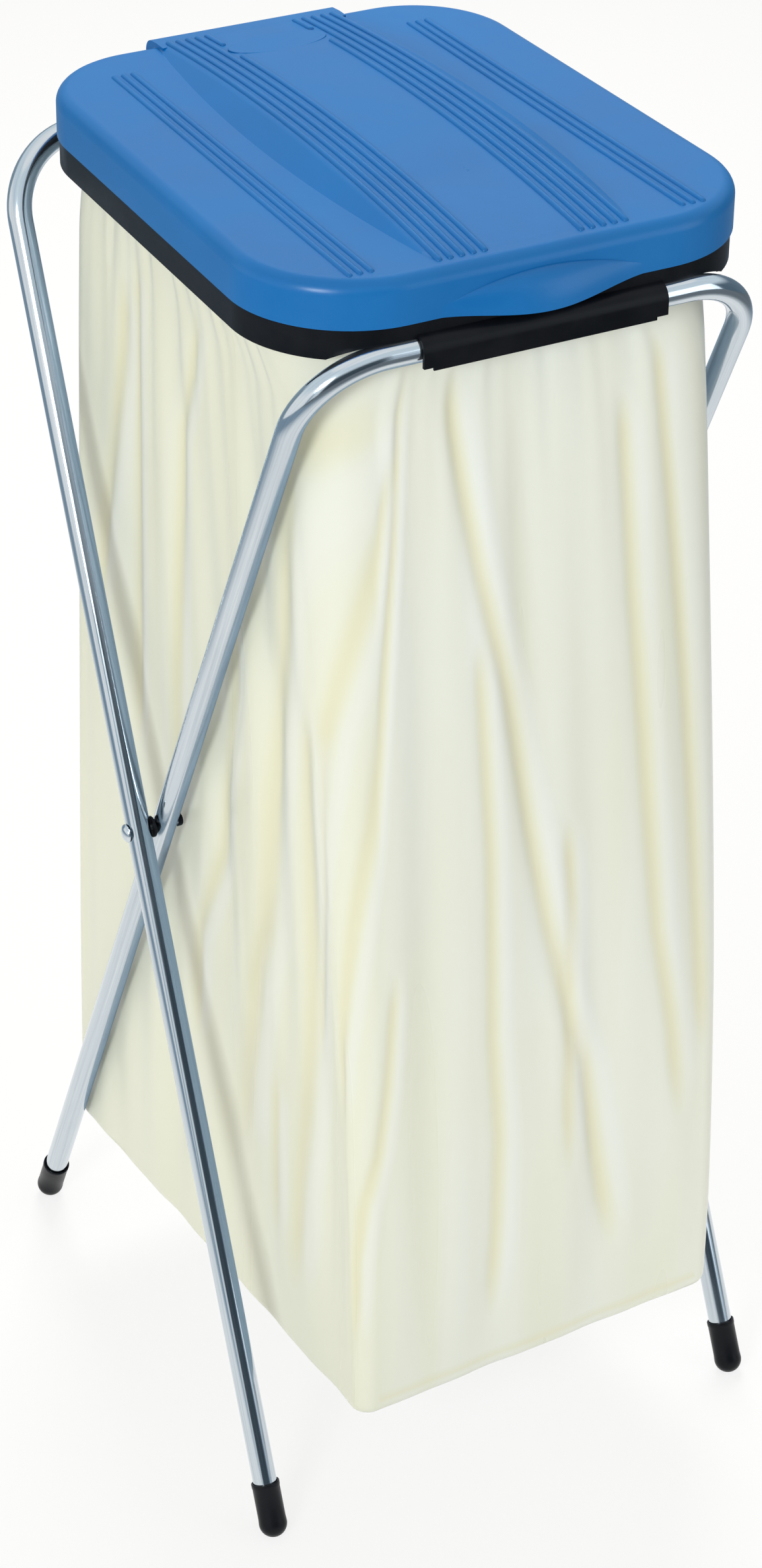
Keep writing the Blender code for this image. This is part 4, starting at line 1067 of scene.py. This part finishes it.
def make_oval():
    """The bare oval pad on the panel's rear."""
    top = LID_TOP + arch(OVAL_Y) + OVAL_HEIGHT
    outline = [(OVAL_HALF_LENGTH * x, OVAL_Y + OVAL_HALF_WIDTH * y) for x, y in circle(1.0, 72)]
    pad = pressed_block("lid_oval", outline, top - OVAL_DEPTH, top, along="Z")
    return soften_edges(pad, 0.0005, segments=3)


def make_lid_clips():
    return join("lid_clips", make_collars("lid_clip", 130, LID_CLIP_START, LID_CLIP_LENGTH))


# Bag

def bag_lean(height):
    """0 where the film leaves the ring and 1 at the bottom; it spreads most near the top."""
    share = min(1.0, max(0.0, (BELOW_BAR - height) / (BELOW_BAR - BAG_BOTTOM)))
    return math.sin(share * math.pi / 2)


def bag_box(front, rear, height, corner):
    points = rounded_plan(front, rear, BAG_HALF_WIDTH, BAG_HALF_WIDTH, corner, corner, BAG_AROUND)
    return np.array([(x, y, height) for x, y in points])


def places_round_bag():
    """How far each point of a loop lies round the bag from the middle of the front, left negative."""
    loop = bag_box(BAG_FRONT, BAG_REAR, 0.0, BAG_BOTTOM_CORNER)
    steps = np.linalg.norm(np.diff(np.vstack([loop, loop[:1]]), axis=0), axis=1)
    places = np.concatenate([[0.0], np.cumsum(steps)[:-1]])
    girth = steps.sum()
    return np.where(places > girth / 2, places - girth, places), girth


def eased(share):
    """A share kept between 0 and 1 that starts and ends softly."""
    share = min(1.0, max(0.0, share))
    return share * share * (3 - 2 * share)


def bump(across, middle, width):
    return np.exp(-((across - middle) / width) ** 2)


def fall(places, height, girth):
    """How far the film stands in or out at a height, and how deep in a crease or high on a crest it is."""
    shift, deep, high = (np.zeros(len(places)) for _ in range(3))
    for crease in CREASES:
        depth, width, *line = (value / 1000 for value in crease)
        along, heights = line[-2::-2], line[::-2]
        low, top = heights[0], heights[-1]
        if not low < height < top:
            continue
        ends = eased(min((height - low) / CREASE_ENDS[0], (top - height) / CREASE_ENDS[1]))
        place = np.interp(height, heights, along)
        across = ((places - place + girth / 2) % girth - girth / 2) / width
        valley = bump(across, 0.0, 1.0)
        crest = sum(size * bump(across, middle, breadth) for size, middle, breadth in CRESTS)
        shift += CREASE_SHARE * depth * ends * (CREST_SHARE * crest - valley)
        deep = np.maximum(deep, ends * valley)
        high = np.maximum(high, ends * crest)
    # A line of painted shade across the front, a little above the bottom, carried in the crease mark
    on_shade_line = bump(height, BAG_BOTTOM + SHADE_LINE_RISE, SHADE_LINE_WIDTH)
    deep = np.maximum(deep, SHADE_LINE_STRENGTH * on_shade_line * (np.abs(places) < SHADE_LINE_HALF_LENGTH))
    return shift + ripple(places, height, girth), deep, high


def ripple(places, height, girth):
    """The waves and the gathers of the film at a height."""
    below = max(0.0, BAR_HEIGHT - height)
    waving = min(1.0, below / WAVE_GROWTH) * min(1.0, (height - BAG_BOTTOM) / WAVE_EASE + WAVE_LEFT)
    gathered = math.exp(-below / GATHER_FADE) * min(1.0, below / GATHER_GROWTH)
    shift = np.zeros(len(places))
    for share, ripples in ((waving, WAVES), (gathered, GATHERS)):
        for size, length, lean, start in ripples:
            turns = round(girth / length)
            angle = 2 * math.pi * turns * places / girth + start + lean * height * 20
            shift += size * share * np.sin(angle)
    return shift


def outward(level):
    """The level direction that points out of a loop at each of its points."""
    run = np.roll(level, -1, axis=0) - np.roll(level, 1, axis=0)
    out = np.stack([run[:, 1], -run[:, 0], np.zeros(len(run))], axis=1)
    return out / np.linalg.norm(out, axis=1)[:, None]


def turn_bag(level, height):
    """Turns a loop of the hanging film a little, more towards the bottom."""
    angle = math.radians(BAG_TURN) * bag_lean(height)
    x, y = level[:, 0].copy(), level[:, 1] - BAG_MIDDLE_Y
    level[:, 0] = x * math.cos(angle) - y * math.sin(angle)
    level[:, 1] = x * math.sin(angle) + y * math.cos(angle) + BAG_MIDDLE_Y
    return level


def film_mouth():
    """Loops of the film from the cuff over the rim and down to the ring's shoulder."""
    cuff, film = CUFF_INSET - BAG_FILM / 2, FILM_INSET + BAG_FILM / 2
    near_rim = RIM_TOP - 0.004
    top = ((cuff, RIM_TOP - BAG_CUFF_DROP), (cuff, near_rim), (cuff, BAG_FOLD))
    top += ((film, BAG_FOLD), (film, near_rim), (film, RING_SHOULDER - RING_WALL))
    return [plan_level(inset, height) for inset, height in top]


def plan_level(inset, height):
    return np.array([(x, y, height) for x, y in lid_plan(inset, BAG_AROUND)])


def film_side(height, places, girth):
    """One loop of the hanging film, with how deep in a crease and how high on a crest it is."""
    film = FILM_INSET + BAG_FILM / 2
    lean = bag_lean(height)
    front = PLAN_FRONT + film + (BAG_FRONT - PLAN_FRONT - film) * lean
    rear = PLAN_REAR - film + (BAG_REAR - PLAN_REAR + film) * lean
    corner = BAG_TOP_CORNER + (BAG_BOTTOM_CORNER - BAG_TOP_CORNER) * lean
    ease = eased((BAG_EASE[0] - height) / BAG_EASE[1])
    level = plan_level(film, 0.0) * (1 - ease) + bag_box(front, rear, height, corner) * ease
    level[:, 2] = height
    shift, deep, high = fall(places, height, girth)
    level += outward(level) * shift[:, None]
    return turn_bag(level, height), (deep, high)


def film_bottom(last, marks):
    """Loops from the last one round the bottom's edge and in to its sagging middle."""
    deep, high = marks
    middle = np.array((0.0, BAG_MIDDLE_Y, 0.0))
    levels, kept = [], []
    for angle in (0.3, 0.6, 0.9, 1.2, math.pi / 2):
        level = last.copy()
        reach = np.linalg.norm((level - middle)[:, :2], axis=1)
        level[:, :2] += (middle - level)[:, :2] / reach[:, None] * BAG_EDGE * (1 - math.cos(angle))
        level[:, 2] = BAG_BOTTOM + BAG_EDGE * (1 - math.sin(angle))
        levels.append(level)
        kept.append(marks)
    flat = levels[-1]
    for share in (0.9, 0.75, 0.6, 0.45, 0.3, 0.15, 0.0):
        level = flat.copy()
        level[:, :2] = middle[:2] + (flat[:, :2] - middle[:2]) * share
        level[:, 2] -= BAG_SAG * (1 - share ** 2)
        levels.append(level)
        kept.append((deep * share, high * share))
    return levels, kept


def make_bag():
    """The film bag, hung from the ring, with its folds kept as attributes for its finish, which paints
    shade in the creases and highlights on the crests.
    """
    levels = film_mouth()
    places, girth = places_round_bag()
    plain = np.zeros(len(places))
    marks = [(plain, plain)] * len(levels)
    for height in np.linspace(BAG_SIDE_TOP, BAG_BOTTOM + BAG_EDGE, BAG_ROWS):
        level, mark = film_side(height, places, girth)
        levels.append(level)
        marks.append(mark)
    bottom, bottom_marks = film_bottom(levels[-1], marks[-1])
    deep, high = (np.array([mark[k] for mark in marks + bottom_marks]) for k in (0, 1))
    bag = wrapped_grid("bag_film", levels + bottom, marks=(("crease", deep), ("crest", high)))
    shade(bag, 180)
    return bag


# Finishes

def new_material(name):
    material = bpy.data.materials.new(name)
    material.use_nodes = True
    return material, material.node_tree, material.node_tree.nodes["Principled BSDF"]


def object_place(tree):
    return tree.nodes.new("ShaderNodeTexCoord").outputs["Object"]


def add_node(tree, kind, inputs, **settings):
    """A shader node with its settings and its inputs, which are values or outputs of other nodes."""
    node = tree.nodes.new("ShaderNode" + kind)
    for word, value in settings.items():
        setattr(node, word, value)
    for word, value in inputs.items():
        feed(tree, node.inputs[word], value)
    return node.outputs


def feed(tree, socket, value):
    """Gives a socket a value, a colour or another node's output."""
    if isinstance(value, bpy.types.NodeSocket):
        tree.links.new(value, socket)
    elif socket.type == "RGBA":
        socket.default_value = (*value, 1)
    else:
        socket.default_value = value


def maths(tree, operation, *values):
    return add_node(tree, "Math", dict(enumerate(values)), operation=operation)[0]


def stretched(tree, vector, scale):
    """The place, stretched by a scale along each axis."""
    return add_node(tree, "Mapping", {"Vector": vector, "Scale": scale})["Vector"]


def noise(tree, vector, scale, detail=3.0, roughness=0.5):
    inputs = {"Vector": vector, "Scale": scale, "Detail": detail, "Roughness": roughness}
    return add_node(tree, "TexNoise", inputs)["Fac"]


def ramp(tree, value, stops):
    """A colour ramp through (place, colour) stops."""
    node = tree.nodes.new("ShaderNodeValToRGB")
    node.color_ramp.interpolation = "EASE"
    while len(node.color_ramp.elements) < len(stops):
        node.color_ramp.elements.new(0.5)
    for element, (place, colour) in zip(node.color_ramp.elements, stops):
        element.position = place
        element.color = (*colour, 1)
    tree.links.new(value, node.inputs["Fac"])
    return node.outputs["Color"]


def between(tree, value, low, high, from_low=0.0, from_high=1.0):
    """A value carried from one range to another."""
    span = {"From Min": from_low, "From Max": from_high, "To Min": low, "To Max": high}
    return add_node(tree, "MapRange", {"Value": value, **span})["Result"]


def tinted(tree, share, under, over):
    """One colour laid over another by a share. The node's colour sockets are told by their numbers."""
    colour_a, colour_b, colour_out = 6, 7, 2
    return add_node(tree, "Mix", {0: share, colour_a: under, colour_b: over}, data_type="RGBA")[colour_out]


def roughened(tree, shader, height, strength, distance):
    bump_inputs = {"Height": height, "Strength": strength, "Distance": distance}
    tree.links.new(add_node(tree, "Bump", bump_inputs)["Normal"], shader.inputs["Normal"])


def moulded_grain():
    """A shared group: spark-eroded grain of a moulding, slow clouds in its gloss, and faint dust."""
    group = bpy.data.node_groups.new("moulded_grain", "ShaderNodeTree")
    for word, kind in (("Place", "Vector"), ("Grain Scale", "Float"), ("Cloud Scale", "Float")):
        group.interface.new_socket(word, in_out="INPUT", socket_type="NodeSocket" + kind)
    for word in ("Height", "Clouds", "Dust"):
        group.interface.new_socket(word, in_out="OUTPUT", socket_type="NodeSocketFloat")
    start = group.nodes.new("NodeGroupInput").outputs
    end = group.nodes.new("NodeGroupOutput").inputs
    grain = noise(group, start["Place"], start["Grain Scale"], 4.0)
    clouds = noise(group, start["Place"], start["Cloud Scale"], 5.0, 0.6)
    specks = add_node(group, "TexVoronoi", {"Vector": start["Place"], "Scale": 420.0})["Distance"]
    near = between(group, specks, 1.0, 0.0, 0.05, 0.16)
    few = between(group, clouds, 0.0, 1.0, 0.55, 0.75)
    feed(group, end["Height"], grain)
    feed(group, end["Clouds"], clouds)
    feed(group, end["Dust"], maths(group, "MULTIPLY", near, few))
    return group


def place_grain(tree, grain, grain_scale, cloud_scale):
    node = tree.nodes.new("ShaderNodeGroup")
    node.node_tree = grain
    feed(tree, node.inputs["Place"], object_place(tree))
    feed(tree, node.inputs["Grain Scale"], grain_scale)
    feed(tree, node.inputs["Cloud Scale"], cloud_scale)
    return node.outputs


def kept_mark(tree, word, output="Fac"):
    """What a piece keeps at each of its points."""
    return add_node(tree, "Attribute", {}, attribute_name=word)[output]


def set_looks(tree, shader, **looks):
    """Feeds the shader's sockets, named with underscores."""
    for word, value in looks.items():
        feed(tree, shader.inputs[word.replace("_", " ")], value)


def zinc_finish(name, along_tube):
    """Bright zinc: fine streaks along the tube, slow blue and grey clouds, a few dull spots."""
    material, tree, shader = new_material(name)
    place = kept_mark(tree, "tube_grain", "Vector") if along_tube else object_place(tree)
    drawn = noise(tree, stretched(tree, place, (1.0, 1.0, 0.012)), 640.0, 4.0, 0.62)
    clouds = noise(tree, stretched(tree, place, (1.0, 1.0, 0.25)), 34.0, 5.0, 0.6)
    plate = ramp(tree, drawn, ZINC_SHADES)
    dull = between(tree, clouds, 0.0, 0.30, 0.48, 0.75)
    streaked = between(tree, drawn, 0.07, 0.15, 0.3, 0.7)
    dulled = between(tree, clouds, 0.0, 0.10, 0.40, 0.75)
    set_looks(
        tree, shader,
        Base_Color=tinted(tree, dull, plate, DULL_ZINC),
        Roughness=maths(tree, "ADD", streaked, dulled),
        Metallic=1.0,
    )
    roughened(tree, shader, drawn, 0.06, 0.0002)
    return material


def moulded_finish(name, grain, scales, shades, dust_colour, dusty, specular, gloss, relief):
    """A satin moulding: a fine grain, slow clouds in its gloss and colour, a little dust."""
    material, tree, shader = new_material(name)
    marks = place_grain(tree, grain, *scales)
    base = ramp(tree, marks["Clouds"], shades)
    dust = between(tree, marks["Dust"], 0.0, dusty)
    set_looks(
        tree, shader,
        Base_Color=tinted(tree, dust, base, dust_colour),
        Specular_IOR_Level=specular,
        Roughness=between(tree, marks["Clouds"], *gloss, 0.3, 0.7),
    )
    roughened(tree, shader, marks["Height"], relief, 0.0002)
    return material


def film_finish():
    """Cream film: painted warm shade in the creases, on a line above the bottom and on the left side,
    painted pale highlights on the crests, a painted cold reflection for gloss rays, with fine crinkles and
    slow clouds.
    """
    material, tree, shader = new_material("cream_film")
    place = object_place(tree)
    hung = noise(tree, stretched(tree, place, (1.0, 1.0, 0.06)), 22.0, 1.0, 0.4)
    clouds = noise(tree, place, 6.0, 3.0, 0.5)
    across = add_node(tree, "SeparateXYZ", {0: place})["X"]
    gloss_ray = tree.nodes.new("ShaderNodeLightPath").outputs["Is Glossy Ray"]
    layers = (
        (between(tree, clouds, 0.0, 0.35, 0.45, 0.70), FILM_CLOUD),
        # painted warm shade on the left side of the film
        (between(tree, across, 0.60, 0.0, -0.138, -0.092), FILM_LEFT_SHADE),
        # painted shade in the creases and on the line above the bottom
        (between(tree, kept_mark(tree, "crease"), 0.0, 0.68, 0.15, 1.0), FILM_CREASE_SHADE),
        # painted highlight on the crests
        (between(tree, kept_mark(tree, "crest"), 0.0, 0.34, 0.35, 1.0), FILM_CREST_HIGHLIGHT),
        # painted reflection: gloss rays see the film in a cold shade
        (gloss_ray, FILM_IN_METAL),
    )
    base = ramp(tree, hung, FILM_SHADES)
    for share, colour in layers:
        base = tinted(tree, share, base, colour)
    gloss = between(tree, hung, 0.26, 0.40, 0.3, 0.7)
    set_looks(tree, shader, Base_Color=base, Roughness=gloss, Alpha=0.95)
    crinkle = noise(tree, stretched(tree, place, (1.0, 1.0, 0.30)), 95.0, 4.0, 0.6)
    roughened(tree, shader, crinkle, 0.08, 0.0015)
    return material


def put_on(piece, material):
    piece.data.materials.clear()
    piece.data.materials.append(material)


def dress(piece, body, material, nodes=()):
    """Gives a finished piece its finish, the body it rides on and the CAD solids it stands for."""
    put_on(piece, material)
    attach(piece, body)
    if nodes:
        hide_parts(*nodes)


# Studio

def show(piece, tree, material, surface):
    """Puts a studio material with its own surface on a piece."""
    feed(tree, tree.nodes["Material Output"].inputs["Surface"], surface)
    put_on(piece, material)


def make_floor():
    """The floor glows white to the camera and keeps the shadow. Gloss sees the paper and the ground."""
    floor = new_piece("studio_floor", bpy.ops.mesh.primitive_plane_add, size=30, location=(0, 0, 0))
    material, tree, shader = new_material("studio_white")
    set_looks(tree, shader, Base_Color=FLOOR_WHITE, Roughness=0.9)
    place = object_place(tree)
    ray = tree.nodes.new("ShaderNodeLightPath").outputs
    gloss = ray["Is Glossy Ray"]
    from_paper = add_node(tree, "VectorMath", {0: place, 1: PAPER_MIDDLE}, operation="DISTANCE")["Value"]
    from_middle = add_node(tree, "VectorMath", {0: place}, operation="LENGTH")["Value"]
    beyond = between(tree, from_paper, 0.0, 1.0, PAPER_REACH, PAPER_REACH + 0.5)
    shaded = between(tree, from_middle, 0.0, 1.0, *PAPER_FADE)
    paper = tinted(tree, maths(tree, "MULTIPLY", shaded, gloss), WHITE, PAPER_SHADE)
    colour = tinted(tree, maths(tree, "MULTIPLY", beyond, gloss), paper, GROUND)
    glow = add_node(tree, "Emission", {"Color": colour})[0]
    clear = maths(tree, "MAXIMUM", ray["Is Camera Ray"], ray["Is Transmission Ray"])
    share = maths(tree, "MAXIMUM", between(tree, clear, 0.0, FLOOR_GLOW), between(tree, gloss, 0.0, 0.90))
    mix = add_node(tree, "MixShader", {0: share, 1: shader.outputs[0], 2: glow})[0]
    show(floor, tree, material, mix)


def make_surround():
    """The walls as bright metal sees them: soft boxes, dark flats behind the camera, a bright head."""
    walls = new_piece(
        "studio_walls",
        bpy.ops.mesh.primitive_cylinder_add,
        vertices=96,
        radius=4.0,
        depth=6.0,
        end_fill_type="NOTHING",
        location=(0, 0, 3.0),
    )
    bpy.ops.object.transform_apply(location=True, rotation=True, scale=True)
    material, tree, _ = new_material("studio_walls")
    split = add_node(tree, "SeparateXYZ", {0: object_place(tree)})
    turn = maths(tree, "ARCTAN2", split["Y"], split["X"])
    bands = ramp(tree, between(tree, turn, 0.0, 1.0, -math.pi, math.pi), WALL_BANDS)
    high = between(tree, split["Z"], 0.0, 1.0, *WALL_FADE)
    glow = add_node(tree, "Emission", {"Color": tinted(tree, high, bands, WALL_HEAD)})[0]
    for ray in ("camera", "diffuse", "shadow", "transmission", "volume_scatter"):
        setattr(walls, "visible_" + ray, False)
    show(walls, tree, material, glow)


def make_world():
    """An even warm light that is seen as white."""
    world = bpy.data.worlds.new("studio_world")
    bpy.context.scene.world = world
    world.use_nodes = True
    tree = world.node_tree
    ray = tree.nodes.new("ShaderNodeLightPath").outputs
    seen = maths(tree, "MAXIMUM", ray["Is Camera Ray"], ray["Is Glossy Ray"])
    seen = maths(tree, "MAXIMUM", seen, ray["Is Transmission Ray"])
    sky = tree.nodes["Background"]
    strength = between(tree, seen, 0.52, 1.0)
    set_looks(tree, sky, Color=tinted(tree, seen, WARM_AIR, WHITE), Strength=strength)


def make_lamp(name, place, target, size, power, colour):
    """A square lamp. The top light is the one that gloss doesn't mirror."""
    data = bpy.data.lights.new(name, "AREA")
    data.shape = "SQUARE"
    data.size = size
    data.energy = power
    data.color = colour
    lamp = bpy.data.objects.new(name, data)
    lamp.location = place
    lamp.rotation_euler = (Vector(place) - Vector(target)).to_track_quat("Z", "Y").to_euler()
    lamp.visible_glossy = name != "top_light"
    bpy.context.scene.collection.objects.link(lamp)


def dress_stand(zinc, rivet_zinc, black):
    """Both frames with their feet, and the two pivots."""
    dress(make_tube("rear_tube", *REAR_FRAME), "rear_frame", zinc, ["rear_frame"])
    dress(make_tube("front_tube", *FRONT_FRAME), "front_frame", zinc, ["front_frame"])
    for side, word in ((-1, "left"), (1, "right")):
        front_cap = make_foot_cap(f"front_cap_{word}", side, *REAR_FRAME)
        dress(front_cap, "rear_frame", black, [f"foot_cap_front_{word}"])
        rear_cap = make_foot_cap(f"rear_cap_{word}", side, *FRONT_FRAME)
        dress(rear_cap, "front_frame", black, [f"foot_cap_rear_{word}"])
        rivet = make_rivet(f"rivet_{word}", side)
        dress(rivet, "rear_frame", rivet_zinc, [f"pivot_rivet_{word}"])
        spacer = make_spacer(f"spacer_{word}", side)
        dress(spacer, "rear_frame", black, [f"pivot_spacer_{word}"])


def main():
    aim_camera()
    grain = moulded_grain()
    zinc, rivet_zinc = zinc_finish("drawn_zinc", True), zinc_finish("rivet_zinc", False)
    black = moulded_finish("black_moulding", grain, **BLACK_MOULDING)
    blue = moulded_finish("blue_moulding", grain, **BLUE_MOULDING)
    film = film_finish()
    dress_stand(zinc, rivet_zinc, black)
    dress(make_ring(), "ring", black, ["holder_ring"])
    dress(make_clamp(), "ring", black, ["bag_clamp_ring"])
    dress(make_lid_shell(), "lid", blue, ["lid"])
    for make in (make_ribs, make_oval, make_lid_clips):
        dress(make(), "lid", blue)
    bag = make_bag()
    dress(bag, "ring", film, ["bag"])
    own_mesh(bag)
    make_floor()
    make_surround()
    make_world()
    for lamp in LAMPS:
        make_lamp(*lamp)
    bpy.context.scene.view_settings.view_transform = "Standard"


main()
